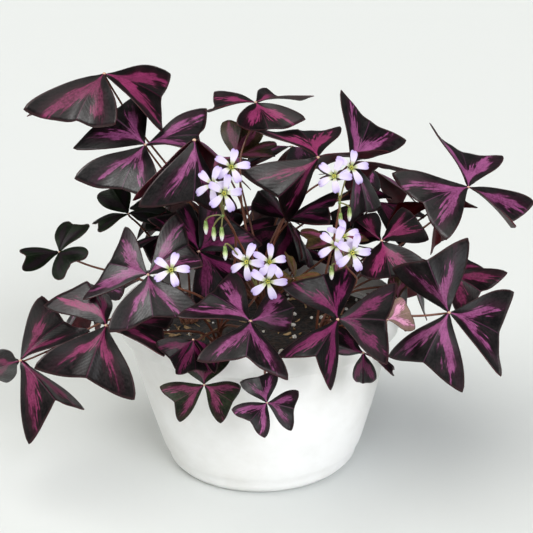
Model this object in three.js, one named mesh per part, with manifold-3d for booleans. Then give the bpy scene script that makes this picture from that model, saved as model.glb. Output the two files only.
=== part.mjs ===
// A potted purple shamrock: a white plastic bulb pan full of soil, stalks that rise in clumps from
// their rhizomes, leaves of three wide leaflets like small umbrellas, and heads of lilac flowers.
// Millimetres and degrees, +Z up. The origin is the middle of the pot's flat bottom, and the
// plant is seen from -Y, from a little above.
import * as THREE from "three";
import { mergeVertices } from "three/addons/utils/BufferGeometryUtils.js";
import Module from "manifold-3d";

const wasm = await Module();
wasm.setup();

// Gap between neighbours, and how close two corners of one mesh may lie
const CLEAR = 0.3;
const WELD = 1e-4;
const VIEWER = new THREE.Vector3(5, -676, 370);

// Pot: radii and heights of the outside, from the bottom up
const POT_SIDES = 32;
const POT_HEIGHT = 120;
const POT_WALL = 2.2;
const POT_FOOT_RADIUS = 61;
const POT_HEEL = [[66.5, 1.6], [70, 5.5]];
const POT_BELLY = [[74.8, 18], [83.6, 50], [89.6, 76]];
const POT_SHOULDER_RADIUS = 95.2;
const POT_BAND_HEIGHT = 17;
const POT_BAND_RADIUS = 100;
const POT_LIP = 1.2;
const POT_STEP_RISE = 3.6;
const DRAIN_COUNT = 5;
const DRAIN_RADIUS = 4;
const DRAIN_RING_RADIUS = 42;
const DRAIN_LENGTH = 9;
const DRAIN_SIDES = 8;

// Soil: a plug under the rim, with a lumpy top
const SOIL_TOP = 100;
const SOIL_RINGS = [[78, 1.5], [58, 2.5], [38, 3], [18, 3.5], [0, 4]];
const SOIL_LUMP = 1.4;
const SOIL_LUMP_FLOOR = 1;
const SOIL_LUMPS_ROUND = 7;
const SOIL_LUMPS_OUT = 0.11;

// Crowns: scaly rhizome tips that stand in plain holes in the soil
const CROWN_RADIUS = 8;
const CROWN_DEPTH = 14;
const CROWN_RISE = 5;
const CROWN_SPREAD = 5;
const CROWN_SPREAD_COUNT = 8;
const CROWN_SINK = 2;
const CROWN_SIDES = 12;
const CROWN_SHARE = 0.42;
const CROWN_SPOTS = {
  left: [-52, 5],
  front_left: [-28, -48],
  middle: [4, -4],
  front_right: [40, -42],
  right: [54, 14],
  rear: [-6, 52],
};

// Stalks: thin round leaf stalks and flower scapes
const STALK_RADIUS = 0.95;
const STALK_SIDES = 5;
const STALK_STEPS = 5;
const STALK_BOWS = [0, 8, 16, 26, 38, 52];
const STALK_BOW_TURNS = 8;
const STALK_BOW_FIRST = 90;
const STALK_BOW_RISE = 0.5;
const STALK_BOW_LOW = 1 / 3;
const STALK_ARRIVALS = [0.3, 0.6, 0.9];
const STALK_RISE = 45;
const STALK_RISE_SHARE = 1 / 3;
const STALK_APPROACH = 0.3;
const STALK_REST = 0.4;
const HEAD_REST = 2.3;
const STALK_GUARD = 0.4;
const RIM_CLEARANCE = 5;
const RIM_REACH = 88;

// Leaf: three wide leaflets, each a triangle with rounded corners and a shallow notch at its rib's end
const LEAFLETS = 3;
const BLADE_THICKNESS = 0.8;
const BLADE_GUARD = 0.35;
const RIB_MIDDLE = 0.5;
const LEAFLET_EDGE = [[1.17, 23], [1.43, 41.5], [0.8, 46.5]];
const HUB_HALF_ANGLE = 43;
const HUB_RADIUS = 1.7;
const HUB_POINTS = [1.3, 3.5, 6, 9];
const RIB_BOW = 0.06;
const FOLD_START_SHARE = 0.12;
const SLIDE_STEP = 3;
const SLIDE_STEPS = 30;
const REAR_RISES = [0, -9, 9, -18, 18, -27];

// The leaves that face the viewer, arranged by hand: where the hub is, how long a rib is, and for each
// leaflet which way its rib points (round, up), how far the blade is rolled about it and folded
const FRONT_LEAVES = [
  {
    name: "top_left", crown: "middle", hub: [-102, 8, 282], rib: 42,
    leaflets: [[10, -25, 25, 0], [150, -25, 0, 10], [-120, -40, -5, -15]],
  },
  {
    name: "upper_left", hub: [-74, -16, 237], rib: 37,
    leaflets: [[-5, 10, 15, -10], [145, 30, -35, 20], [-120, -40, -5, -15]],
  },
  {
    name: "inner_left_top", hub: [-38, -58, 248], rib: 37,
    leaflets: [[70, -25, -20, 60], [140, -40, -10, 10], [-95, -70, -35, 35]],
  },
  {
    name: "crown_top", hub: [0, 20, 258], rib: 29,
    leaflets: [[40, 0, 0, -10], [175, -5, -5, -10], [-70, -30, 0, -20]],
  },
  {
    name: "centre_top", hub: [41, -25, 228], rib: 38,
    leaflets: [[60, -10, -15, 5], [110, 20, 5, 0], [-160, -40, -80, 45]],
  },
  {
    name: "centre", hub: [21, -16, 183], rib: 31,
    leaflets: [[-15, 20, 10, 0], [145, 35, -50, 70], [-50, -50, -45, 0]],
  },
  {
    name: "centre_low_left", hub: [20, 10, 174], rib: 30,
    leaflets: [[50, 10, 0, 30], [180, -55, -90, 55], [-50, -65, 0, 30]],
  },
  {
    name: "top_right", hub: [66, 8, 217], rib: 36,
    leaflets: [[55, 45, 60, -10], [-35, -70, -10, 0], [50, -15, -20, 20]],
  },
  {
    name: "far_right_top", hub: [147, 0, 200], rib: 38,
    leaflets: [[90, 30, 30, -15], [-155, -10, -30, 0], [-25, -35, 0, -20]],
  },
  {
    name: "right_mid", hub: [83, -35, 173], rib: 29,
    leaflets: [[20, 30, 50, 55], [130, 20, -55, 60], [-80, -40, 5, -30]],
  },
  {
    name: "right_low", hub: [120, -88, 141], rib: 36,
    leaflets: [[0, -25, 40, -10], [135, 60, -60, 35], [-140, -50, -25, 35]],
  },
  {
    name: "right_behind", hub: [133, -10, 140], rib: 29,
    leaflets: [[-45, -15, 25, 0], [60, 10, 0, 30], [155, 20, 0, 30]],
  },
  {
    name: "front_right", hub: [48, -112, 147], rib: 30,
    leaflets: [[-20, 5, 45, 5], [115, 50, -15, 25], [-125, -30, -35, 45]],
  },
  {
    name: "rim_right", hub: [64, -108, 123], rib: 20,
    leaflets: [[-15, -25, -15, 0], [155, 10, -75, 55], [-95, -85, 5, 60]],
  },
  {
    name: "young_right", hub: [83, -74, 131], rib: 18,
    leaflets: [[30, 5, 55, 20], [120, 20, 0, 30], [-150, -30, 0, 30]],
  },
  {
    name: "right_olive", hub: [96, -26, 127], rib: 18,
    leaflets: [[75, 50, -40, 0], [-175, 20, 0, 25], [-20, -50, 0, 30]],
  },
  {
    name: "front_left", hub: [-5, -120, 150], rib: 31,
    leaflets: [[30, 5, 65, 60], [150, 25, -15, 0], [-95, -20, -15, 15]],
  },
  {
    name: "left_mid", hub: [-69, -80, 167], rib: 32,
    leaflets: [[5, 35, 25, -10], [150, 5, -40, 0], [-80, -35, 15, 0]],
  },
  {
    name: "inner_left", hub: [-40, -32, 167], rib: 31,
    leaflets: [[20, 40, 65, 10], [150, 55, 5, 5], [-40, -38, 15, 10]],
  },
  {
    name: "far_left_dark", hub: [-139, -10, 161], rib: 23,
    leaflets: [[55, 45, -5, 0], [-160, 0, -60, 55], [-60, -5, 35, 5]],
  },
  {
    name: "left_dark", hub: [-90, -5, 187], rib: 22,
    leaflets: [[-10, 0, 10, 0], [145, 50, -35, 35], [-160, -10, 0, 5]],
  },
  {
    name: "inner_dark", hub: [-66, 5, 188], rib: 20,
    leaflets: [[35, 25, 15, -5], [150, 10, 0, 20], [-90, -20, 0, 20]],
  },
  {
    name: "low_left", hub: [-96, -92, 138], rib: 36,
    leaflets: [[0, -5, 0, 5], [120, 35, 5, 45], [-115, -45, -25, 0]],
  },
  {
    name: "far_left", hub: [-160, -62, 102], rib: 39,
    leaflets: [[35, 30, 5, -10], [160, -20, -75, 70], [-40, -30, 15, 50]],
  },
  {
    name: "pot_left", hub: [-34, -122, 110], rib: 21,
    leaflets: [[0, -35, 55, 35], [90, 35, -5, 20], [-155, -20, -60, 40]],
  },
  {
    name: "pot_front", hub: [4, -128, 100], rib: 17,
    leaflets: [[0, -15, 50, 15], [115, 50, -20, 25], [-130, -20, -35, 5]],
  },
  {
    name: "rim_left", hub: [-41, -103, 132], rib: 18,
    leaflets: [[15, -35, 10, 30], [-165, -35, -70, 30], [-80, -65, 0, 35]],
  },
  {
    name: "young_centre", hub: [23, -62, 157], rib: 15,
    leaflets: [[-25, 5, 10, 0], [100, 55, 60, 0], [160, -15, -75, 45]],
  },
  {
    name: "olive_centre", hub: [53, -40, 174], rib: 21,
    leaflets: [[60, 10, 0, 30], [-170, 10, -10, 0], [-60, -30, 0, 30]],
  },
  {
    name: "crown_left", hub: [-16, 22, 219], rib: 27,
    leaflets: [[-5, 15, 5, 0], [65, 55, 25, 35], [170, -10, 0, 30]],
  },
  {
    name: "right_under", hub: [126, 10, 184], rib: 27,
    leaflets: [[-30, -80, -5, 0], [60, 10, 0, 30], [160, 0, 0, 30]],
  },
  {
    name: "deep_left", hub: [-24, 30, 158], rib: 31,
    leaflets: [[-15, 5, 30, 10], [105, 30, 10, 20], [-150, -10, -30, 15]],
  },
  {
    name: "deep_right", hub: [34, 40, 146], rib: 24,
    leaflets: [[20, 5, 20, 10], [150, 15, -30, 20], [-80, -5, 5, 20]],
  },
  {
    name: "right_blue", hub: [85, 45, 179], rib: 34,
    leaflets: [[-25, -15, 15, 25], [95, 10, 0, 30], [-165, -10, 0, 30]],
  },
  {
    name: "deep_far_left", hub: [-62, 12, 166], rib: 26,
    leaflets: [[-20, -5, 10, 20], [100, 5, 5, 20], [-140, -10, -10, 20]],
  },
];

// The leaves behind, in tiers round the back of the bush, each a tilted umbrella
const REAR_TIERS = [
  { name: "rear_low", count: 4, first: 20, sweep: 140, reach: 120, height: 124, lean: 58, rib: 36 },
  { name: "rear_middle", count: 3, first: 50, sweep: 80, reach: 98, height: 170, lean: 42, rib: 35 },
  { name: "rear_top", count: 2, first: 65, sweep: 50, reach: 56, height: 208, lean: 24, rib: 32 },
];
const GOLDEN_ANGLE = 137.5;
const REAR_SCATTER = 10;
const REAR_STAGGER = 12;
const REAR_FOLD = 25;
const REAR_DROOP = 12;
const REAR_TILT_SHARE = 0.8;

// Flower heads: where the stalks of a head meet, where each open flower's throat is and which way it
// faces as [round, up], and where the closed buds hang
const HEADS = [
  {
    name: "left", joint: [-20, -92, 211],
    flowers: [[[-14, -90, 241], [-80, 35]], [[-26, -97, 232], [-115, 20]], [[-18, -104, 228], [-70, 15]]],
    buds: [[-31, -86, 202], [-26, -90, 199], [-21, -94, 200]],
  },
  {
    name: "right", joint: [52, -70, 209],
    flowers: [[[48, -72, 227], [-110, 25]], [[60, -66, 231], [-75, 30]]],
    buds: [[52, -77, 200], [58, -72, 202]],
  },
  {
    name: "low_right", joint: [53, -98, 179],
    flowers: [[[47, -104, 192], [-100, 25]], [[57, -111, 189], [-80, 10]], [[53, -96, 196], [-60, 50]]],
    buds: [[45, -100, 173]],
  },
  {
    name: "middle", joint: [0, -106, 165],
    flowers: [[[-7, -112, 185], [-115, 20]], [[8, -100, 181], [-60, 35]], [[6, -124, 176], [-90, 0]]],
    buds: [[-19, -110, 190]],
  },
  {
    name: "low_left", joint: [-49, -102, 168],
    flowers: [[[-52, -108, 180], [-90, 35]]],
    buds: [],
  },
];
const PETALS = 5;
const PETAL_LENGTH = 12;
const PETAL_HALF_WIDTH = 3.4;
const PETAL_CLAW_SHARE = 0.2;
const PETAL_PLAN = [[0.7, 1], [0.96, 0.68]];
const PETAL_THICKNESS = 0.65;
const THROAT_RADIUS = 1.4;
const THROAT_DEPTH = 4.5;
const THROAT_FLARE = 4;
const PETAL_CUP = 1.2;
const FLOWER_STALK_RADIUS = 0.6;
const FLOWER_STALK_SIDES = 4;
const FLOWER_STALK_STEPS = 2;
const FLOWER_STALK_SINK = 1.2;
const FLOWER_STALK_LEAVE = 1 / 3;
const FLOWER_STALK_RISE = 1 / 6;
const FLOWER_STALK_APPROACH = 1 / 4;
const BUD_RADIUS = 1.5;
const BUD_LENGTH = 8;
const BUD_PLAN = [[0, -1], [0.7, -0.6], [1, 0.3], [0, 1]];
const BUD_SIDES = 5;
const JOINT_RADIUS = 1.6;

const COLOURS = {
  pot: new THREE.MeshStandardMaterial({ color: 0xf1f2f4, roughness: 0.35, metalness: 0 }),
  soil: new THREE.MeshStandardMaterial({ color: 0x2a201a, roughness: 0.95, metalness: 0 }),
  stalks: new THREE.MeshStandardMaterial({ color: 0x8a4a3a, roughness: 0.5, metalness: 0 }),
  blade: new THREE.MeshStandardMaterial({ color: 0x3b2133, roughness: 0.55, metalness: 0 }),
  flowers: new THREE.MeshStandardMaterial({ color: 0xe6dcf5, roughness: 0.6, metalness: 0 }),
};

const shamrock = new THREE.Group();

function radians(degrees) {
  return THREE.MathUtils.degToRad(degrees);
}

// A closed mesh as a solid that can be joined and cut, and back again
function toSolid(geometry) {
  const bare = geometry.clone();
  bare.deleteAttribute("normal");
  bare.deleteAttribute("uv");
  const merged = mergeVertices(bare, WELD);
  const vertProperties = new Float32Array(merged.attributes.position.array);
  const triVerts = new Uint32Array(merged.index.array);
  return new wasm.Manifold(new wasm.Mesh({ numProp: 3, vertProperties, triVerts }));
}

function toGeometry(solid) {
  const mesh = solid.getMesh();
  const geometry = new THREE.BufferGeometry();
  geometry.setAttribute("position", new THREE.BufferAttribute(mesh.vertProperties, 3));
  geometry.setIndex(new THREE.BufferAttribute(mesh.triVerts, 1));
  geometry.computeVertexNormals();
  return geometry;
}

// Solids fused into one, with any hollow that they close off between them filled
function joined(solids) {
  const whole = solids.reduce((sum, solid) => sum.add(solid));
  const shells = whole.decompose().filter((shell) => shell.volume() > 0);
  return shells.reduce((sum, shell) => sum.add(shell));
}

// Solids with their boxes, so that far neighbours are passed over quickly
function obstacle(geometry) {
  geometry.computeBoundingBox();
  return { solid: toSolid(geometry), box: geometry.boundingBox };
}

function meets(a, b) {
  return a.box.intersectsBox(b.box) && !a.solid.intersect(b.solid).isEmpty();
}

function addPiece(name, geometry, material) {
  const mesh = new THREE.Mesh(geometry, material.clone());
  mesh.name = name;
  shamrock.add(mesh);
}

// A thin closed sheet: flat outlines are placed in space by a rule, given a thickness along their
// normals and walled round their free edge, with the same triangles on both faces
function sheetGeometry(outlines, place, thickness) {
  const flat = new THREE.ShapeGeometry(outlines);
  flat.deleteAttribute("normal");
  flat.deleteAttribute("uv");
  const plan = mergeVertices(flat, WELD);
  const middle = plan.clone();
  const count = plan.attributes.position.count;
  const flatPoint = new THREE.Vector2();
  for (let i = 0; i < count; i += 1) {
    flatPoint.set(plan.attributes.position.getX(i), plan.attributes.position.getY(i));
    const placed = place(flatPoint);
    middle.attributes.position.setXYZ(i, placed.x, placed.y, placed.z);
  }
  middle.computeVertexNormals();
  const positions = new Float32Array(count * 6);
  for (let i = 0; i < count; i += 1) {
    flatPoint.set(plan.attributes.position.getX(i), plan.attributes.position.getY(i));
    const point = new THREE.Vector3().fromBufferAttribute(middle.attributes.position, i);
    const normal = new THREE.Vector3().fromBufferAttribute(middle.attributes.normal, i);
    const { above, below } = thickness(flatPoint);
    point.clone().addScaledVector(normal, above).toArray(positions, i * 3);
    point.clone().addScaledVector(normal, -below).toArray(positions, (count + i) * 3);
  }
  const index = closedIndex(plan.index.array, count);
  const sheet = new THREE.BufferGeometry();
  sheet.setAttribute("position", new THREE.BufferAttribute(positions, 3));
  sheet.setIndex(index);
  sheet.computeVertexNormals();
  return sheet;
}

// Top faces, bottom faces turned over, and two triangles for each free edge between them
function closedIndex(top, count) {
  const index = [];
  const edges = new Set();
  for (let i = 0; i < top.length; i += 3) {
    const [a, b, c] = [top[i], top[i + 1], top[i + 2]];
    index.push(a, b, c);
    index.push(count + a, count + c, count + b);
    for (const [from, to] of [[a, b], [b, c], [c, a]]) {
      edges.add(`${from}_${to}`);
    }
  }
  for (const edge of edges) {
    const [from, to] = edge.split("_").map(Number);
    if (!edges.has(`${to}_${from}`)) {
      index.push(to, from, count + from);
      index.push(to, count + from, count + to);
    }
  }
  return index;
}

// A round stem along a curve
function stemGeometry(path, radius, sides, steps) {
  const section = new THREE.Shape();
  section.absarc(0, 0, radius, 0, 2 * Math.PI);
  const outline = new THREE.Shape(section.getSpacedPoints(sides).slice(0, sides));
  return new THREE.ExtrudeGeometry(outline, { steps, extrudePath: path, bevelEnabled: false });
}

// Pot: one turned wall with a band and a rounded heel, and drain holes through its floor
function potProfile() {
  const bandFoot = POT_HEIGHT - POT_BAND_HEIGHT;
  const outside = [
    [POT_FOOT_RADIUS, 0],
    ...POT_HEEL,
    ...POT_BELLY,
    [POT_SHOULDER_RADIUS, bandFoot - POT_LIP],
    [POT_BAND_RADIUS - POT_LIP, bandFoot],
    [POT_BAND_RADIUS, bandFoot + POT_LIP],
    [POT_BAND_RADIUS, POT_HEIGHT - POT_LIP],
    [POT_BAND_RADIUS - POT_LIP, POT_HEIGHT],
  ];
  const inside = [
    [POT_BAND_RADIUS - POT_WALL, POT_HEIGHT],
    ...soilSide(0),
  ];
  const points = [[0, 0], ...outside, ...inside, [0, POT_WALL]];
  return points.map(([radius, height]) => new THREE.Vector2(radius, height));
}

// The pot's inner wall from the band down to the floor, or the soil's side a gap inside it
function soilSide(gap) {
  const bandFoot = POT_HEIGHT - POT_BAND_HEIGHT;
  const wall = POT_WALL + gap;
  const heel = POT_HEEL[POT_HEEL.length - 1];
  return [
    [POT_BAND_RADIUS - wall, bandFoot + POT_STEP_RISE],
    [POT_SHOULDER_RADIUS - wall, bandFoot - POT_LIP],
    ...POT_BELLY.map(([radius, height]) => [radius - wall, height]).reverse(),
    [heel[0] - wall, heel[1]],
    [POT_FOOT_RADIUS, wall],
  ];
}

function makePot() {
  const wall = new THREE.LatheGeometry(potProfile(), POT_SIDES);
  wall.rotateX(Math.PI / 2);
  let pot = toSolid(wall);
  const drain = new THREE.CylinderGeometry(DRAIN_RADIUS, DRAIN_RADIUS, DRAIN_LENGTH, DRAIN_SIDES);
  drain.rotateX(Math.PI / 2);
  for (let i = 0; i < DRAIN_COUNT; i += 1) {
    const angle = (2 * Math.PI * i) / DRAIN_COUNT;
    const hole = drain.clone();
    hole.translate(DRAIN_RING_RADIUS * Math.cos(angle), DRAIN_RING_RADIUS * Math.sin(angle), 0);
    pot = pot.subtract(toSolid(hole));
  }
  return toGeometry(pot);
}

// Soil: a plug that follows the pot's inner wall, with low lumps over its top
function makeSoil() {
  const side = soilSide(CLEAR).slice(2).reverse();
  const edgeRadius = soilEdgeRadius();
  const profile = [[0, POT_WALL + CLEAR], ...side, [edgeRadius, SOIL_TOP]];
  const top = SOIL_RINGS.map(([radius, rise]) => [radius, SOIL_TOP + rise]);
  const points = [...profile, ...top].map(([radius, height]) => new THREE.Vector2(radius, height));
  const plug = new THREE.LatheGeometry(points, POT_SIDES);
  plug.rotateX(Math.PI / 2);
  const position = plug.attributes.position;
  for (let i = 0; i < position.count; i += 1) {
    const [x, y, z] = [position.getX(i), position.getY(i), position.getZ(i)];
    if (z > SOIL_TOP + SOIL_LUMP_FLOOR) {
      position.setZ(i, z + soilLump(x, y));
    }
  }
  let soil = toSolid(plug);
  for (const spot of Object.values(CROWN_SPOTS)) {
    const hole = crownCylinder(spot, CROWN_RADIUS + CLEAR, SOIL_TOP - CROWN_DEPTH, POT_HEIGHT);
    soil = soil.subtract(toSolid(hole));
  }
  return toGeometry(soil);
}

function soilEdgeRadius() {
  const [low, lowHeight] = POT_BELLY[POT_BELLY.length - 1];
  const shoulderHeight = POT_HEIGHT - POT_BAND_HEIGHT - POT_LIP;
  const share = (SOIL_TOP - lowHeight) / (shoulderHeight - lowHeight);
  return THREE.MathUtils.lerp(low, POT_SHOULDER_RADIUS, share) - POT_WALL - CLEAR;
}

function soilLump(x, y) {
  const round = Math.sin(SOIL_LUMPS_ROUND * Math.atan2(y, x));
  const out = Math.cos(SOIL_LUMPS_OUT * Math.hypot(x, y) * SOIL_LUMPS_ROUND);
  return SOIL_LUMP * round * out;
}

function crownCylinder([x, y], radius, bottom, top) {
  const cylinder = new THREE.CylinderGeometry(radius, radius, top - bottom, CROWN_SIDES);
  cylinder.rotateX(Math.PI / 2);
  cylinder.translate(x, y, (top + bottom) / 2);
  return cylinder;
}

// Leaf: the flat plan is six half leaflets and the small gaps between them round the hub
function polar(radius, degrees) {
  return new THREE.Vector2(radius * Math.cos(radians(degrees)), radius * Math.sin(radians(degrees)));
}

function leafOutlines(rib) {
  const outlines = [];
  for (let k = 0; k < LEAFLETS; k += 1) {
    const middle = (360 / LEAFLETS) * k;
    for (const side of [1, -1]) {
      const outline = [polar(0, 0), polar(RIB_MIDDLE * rib, middle), polar(rib, middle)];
      for (const [share, angle] of LEAFLET_EDGE) {
        outline.push(polar(share * rib, middle + side * angle));
      }
      outline.push(polar(HUB_RADIUS, middle + side * HUB_HALF_ANGLE));
      outlines.push(new THREE.Shape(outline));
    }
    const next = middle + 360 / LEAFLETS;
    const edge = polar(HUB_RADIUS, middle + HUB_HALF_ANGLE);
    const nextEdge = polar(HUB_RADIUS, next - HUB_HALF_ANGLE);
    outlines.push(new THREE.Shape([polar(0, 0), edge, nextEdge]));
  }
  return outlines;
}

// A leaflet's own axes: along its rib, across the blade, and up from the blade
function leafletAxes([round, up, roll]) {
  const [around, rise] = [radians(round), radians(up)];
  const flatRib = new THREE.Vector3(Math.cos(around), Math.sin(around), 0);
  const rib = flatRib.multiplyScalar(Math.cos(rise)).setZ(Math.sin(rise));
  const side = new THREE.Vector3(-Math.sin(around), Math.cos(around), 0);
  side.applyAxisAngle(rib, radians(roll));
  const lift = new THREE.Vector3().crossVectors(rib, side);
  return { rib, side, lift };
}

// Each leaflet bows a little along its rib and folds down on both sides of it
function leafRule(leaf, hub) {
  const axes = leaf.leaflets.map(leafletAxes);
  const sector = (2 * Math.PI) / LEAFLETS;
  const turned = new THREE.Vector2();
  const centre = new THREE.Vector2();
  return (flat) => {
    const k = (Math.round(Math.atan2(flat.y, flat.x) / sector) + LEAFLETS) % LEAFLETS;
    turned.copy(flat).rotateAround(centre, -k * sector);
    const share = turned.x / leaf.rib;
    const fold = radians(leaf.leaflets[k][3]) * Math.min(1, share / FOLD_START_SHARE);
    const bow = 4 * RIB_BOW * leaf.rib * share * (1 - share);
    return hub.clone()
      .addScaledVector(axes[k].rib, turned.x)
      .addScaledVector(axes[k].side, turned.y * Math.cos(fold))
      .addScaledVector(axes[k].lift, bow - Math.abs(turned.y) * Math.sin(fold));
  };
}

// Under the hub the blades draw together into a short point that meets the stalk
function leafGeometry(leaf, hub, guard, point = HUB_POINTS[0]) {
  const half = BLADE_THICKNESS / 2 + guard;
  const thickness = (flat) => ({ above: half, below: flat.length() < WELD ? half + point : half });
  return sheetGeometry(leafOutlines(leaf.rib), leafRule(leaf, hub), thickness);
}

// A blade that would cross a neighbour moves along one line until it is clear: towards the viewer or
// away for a leaf that faces the viewer, outwards or inwards and then up or down for one behind
function settledLeaf(leaf, line, rises, neighbours) {
  const start = new THREE.Vector3(...leaf.hub);
  for (const rise of rises) {
    for (let step = 0; step < SLIDE_STEPS; step += 1) {
      const way = step % 2 === 1 ? 1 : -1;
      const hub = start.clone().addScaledVector(line, way * SLIDE_STEP * Math.ceil(step / 2));
      hub.z += rise;
      const guarded = obstacle(leafGeometry(leaf, hub, BLADE_GUARD));
      if (!neighbours.some((neighbour) => meets(guarded, neighbour))) {
        const geometry = leafGeometry(leaf, hub, 0);
        return { ...leaf, hub, geometry, guarded, ...obstacle(geometry) };
      }
    }
  }
  throw new Error(`No clear place for leaf ${leaf.name}`);
}

function rearLeaves() {
  const leaves = [];
  for (const tier of REAR_TIERS) {
    for (let i = 0; i < tier.count; i += 1) {
      const swing = (GOLDEN_ANGLE * leaves.length) % REAR_SCATTER - REAR_SCATTER / 2;
      const toward = tier.first + (tier.sweep * i) / (tier.count - 1) + swing;
      const stagger = i % 2 === 0 ? REAR_STAGGER : -REAR_STAGGER;
      const place = polar(tier.reach - stagger, toward);
      leaves.push({
        name: `${tier.name}_${i + 1}`,
        hub: [place.x, place.y, tier.height + stagger],
        rib: tier.rib - Math.abs(swing) / 2,
        leaflets: umbrellaLeaflets(tier.lean + swing, toward, GOLDEN_ANGLE * leaves.length),
      });
    }
  }
  return leaves;
}

// The leaflets of an even umbrella that leans towards one side
function umbrellaLeaflets(lean, toward, turn) {
  const leaflets = [];
  for (let k = 0; k < LEAFLETS; k += 1) {
    const offset = (turn + (360 / LEAFLETS) * k) % 360;
    const up = -REAR_DROOP - lean * Math.cos(radians(offset)) * REAR_TILT_SHARE;
    const roll = lean * Math.sin(radians(offset));
    leaflets.push([toward + offset, up, roll, REAR_FOLD]);
  }
  return leaflets;
}

// Flower head: thin stalks from one joint, each with an open flower or a hanging bud
function flowerOutlines() {
  const outlines = [];
  const petal = [[THROAT_RADIUS, PETAL_HALF_WIDTH * PETAL_CLAW_SHARE]];
  for (const [length, width] of PETAL_PLAN) {
    petal.push([PETAL_LENGTH * length, PETAL_HALF_WIDTH * width]);
  }
  const pitch = (2 * Math.PI) / PETALS;
  const centre = new THREE.Vector2();
  for (let k = 0; k < PETALS; k += 1) {
    const near = petal.map(([along, across]) => new THREE.Vector2(along, -across));
    const far = petal.map(([along, across]) => new THREE.Vector2(along, across)).reverse();
    const outline = [centre.clone(), ...near, ...far];
    outline.forEach((point) => point.rotateAround(centre, k * pitch));
    outlines.push(new THREE.Shape(outline));
    const base = new THREE.Vector2(...petal[0]).rotateAround(centre, k * pitch);
    const next = new THREE.Vector2(petal[0][0], -petal[0][1]).rotateAround(centre, (k + 1) * pitch);
    outlines.push(new THREE.Shape([centre.clone(), base, next]));
  }
  return outlines;
}

function facing([round, up]) {
  const flat = polar(Math.cos(radians(up)), round);
  return new THREE.Vector3(flat.x, flat.y, Math.sin(radians(up)));
}

function flowerGeometry(throat, direction) {
  const along = new THREE.Vector3(0, 0, 1).cross(direction).normalize();
  const across = new THREE.Vector3().crossVectors(direction, along);
  const rule = (flat) => {
    const radius = flat.length();
    const inside = Math.max(0, 1 - radius / THROAT_FLARE);
    const outside = Math.max(0, radius / PETAL_LENGTH - THROAT_FLARE / PETAL_LENGTH);
    const height = -THROAT_DEPTH * inside * inside + PETAL_CUP * outside;
    return throat.clone()
      .addScaledVector(along, flat.x)
      .addScaledVector(across, flat.y)
      .addScaledVector(direction, height);
  };
  const half = PETAL_THICKNESS / 2;
  return sheetGeometry(flowerOutlines(), rule, () => ({ above: half, below: half }));
}

function flowerStalk(joint, end, arrival) {
  const span = end.distanceTo(joint);
  const leave = joint.clone().lerp(end, FLOWER_STALK_LEAVE);
  leave.z += span * FLOWER_STALK_RISE;
  const arrive = end.clone().addScaledVector(arrival, -span * FLOWER_STALK_APPROACH);
  const path = new THREE.CubicBezierCurve3(joint, leave, arrive, end);
  return toSolid(stemGeometry(path, FLOWER_STALK_RADIUS, FLOWER_STALK_SIDES, FLOWER_STALK_STEPS));
}

function budGeometry(spot) {
  const profile = BUD_PLAN.map(([out, up]) => new THREE.Vector2(out * BUD_RADIUS, (up * BUD_LENGTH) / 2));
  const bud = new THREE.LatheGeometry(profile, BUD_SIDES);
  bud.rotateX(Math.PI / 2);
  bud.translate(...spot);
  return bud;
}

function headGeometry(head, shift) {
  const place = (spot) => new THREE.Vector3(...spot).add(shift);
  const joint = place(head.joint);
  const core = new THREE.IcosahedronGeometry(JOINT_RADIUS, 0);
  core.translate(...joint);
  const solids = [toSolid(core)];
  for (const [spot, aim] of head.flowers) {
    const direction = facing(aim);
    const throat = place(spot);
    const end = throat.clone().addScaledVector(direction, -THROAT_DEPTH + FLOWER_STALK_SINK);
    solids.push(toSolid(flowerGeometry(throat, direction)), flowerStalk(joint, end, direction));
  }
  for (const spot of head.buds) {
    const bud = place(spot);
    const top = bud.clone().add(new THREE.Vector3(0, 0, BUD_LENGTH / 2 - FLOWER_STALK_SINK));
    solids.push(toSolid(budGeometry(bud)), flowerStalk(joint, top, new THREE.Vector3(0, 0, -1)));
  }
  return toGeometry(joined(solids));
}

function settledHead(head, leaves) {
  const line = VIEWER.clone().sub(new THREE.Vector3(...head.joint)).normalize();
  for (let step = 0; step < SLIDE_STEPS; step += 1) {
    const shift = line.clone().multiplyScalar(SLIDE_STEP * step);
    const geometry = headGeometry(head, shift);
    const piece = obstacle(geometry);
    if (!leaves.some((leaf) => meets(piece, leaf.guarded))) {
      return { ...head, joint: new THREE.Vector3(...head.joint).add(shift), geometry, ...piece };
    }
  }
  throw new Error(`No clear place for flower head ${head.name}`);
}

// The vertex under the one that stands on the hub
function hubTip(geometry, hub) {
  const position = geometry.attributes.position;
  const half = position.count / 2;
  const spot = new THREE.Vector3();
  let nearest = 0;
  for (let i = 1; i < half; i += 1) {
    const distance = spot.fromBufferAttribute(position, i).distanceTo(hub);
    if (distance < spot.fromBufferAttribute(position, nearest).distanceTo(hub)) {
      nearest = i;
    }
  }
  return spot.fromBufferAttribute(position, half + nearest).clone();
}

// Stalks: each rises from its crown, bends round what stands in its way and ends close under the
// point of its leaf's hub, or under the joint of its flower head
function stalkSeats(target) {
  if (target.leaflets === undefined) {
    const end = target.joint.clone().add(new THREE.Vector3(0, 0, -HEAD_REST));
    return [{ end, normal: new THREE.Vector3(0, 0, 1), piece: target }];
  }
  return HUB_POINTS.map((point) => {
    const geometry = leafGeometry(target, target.hub, 0, point);
    const tip = hubTip(geometry, target.hub);
    const normal = target.hub.clone().sub(tip).normalize();
    const end = tip.addScaledVector(normal, -STALK_REST);
    return { end, normal, piece: { ...target, geometry, ...obstacle(geometry) } };
  });
}

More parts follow.
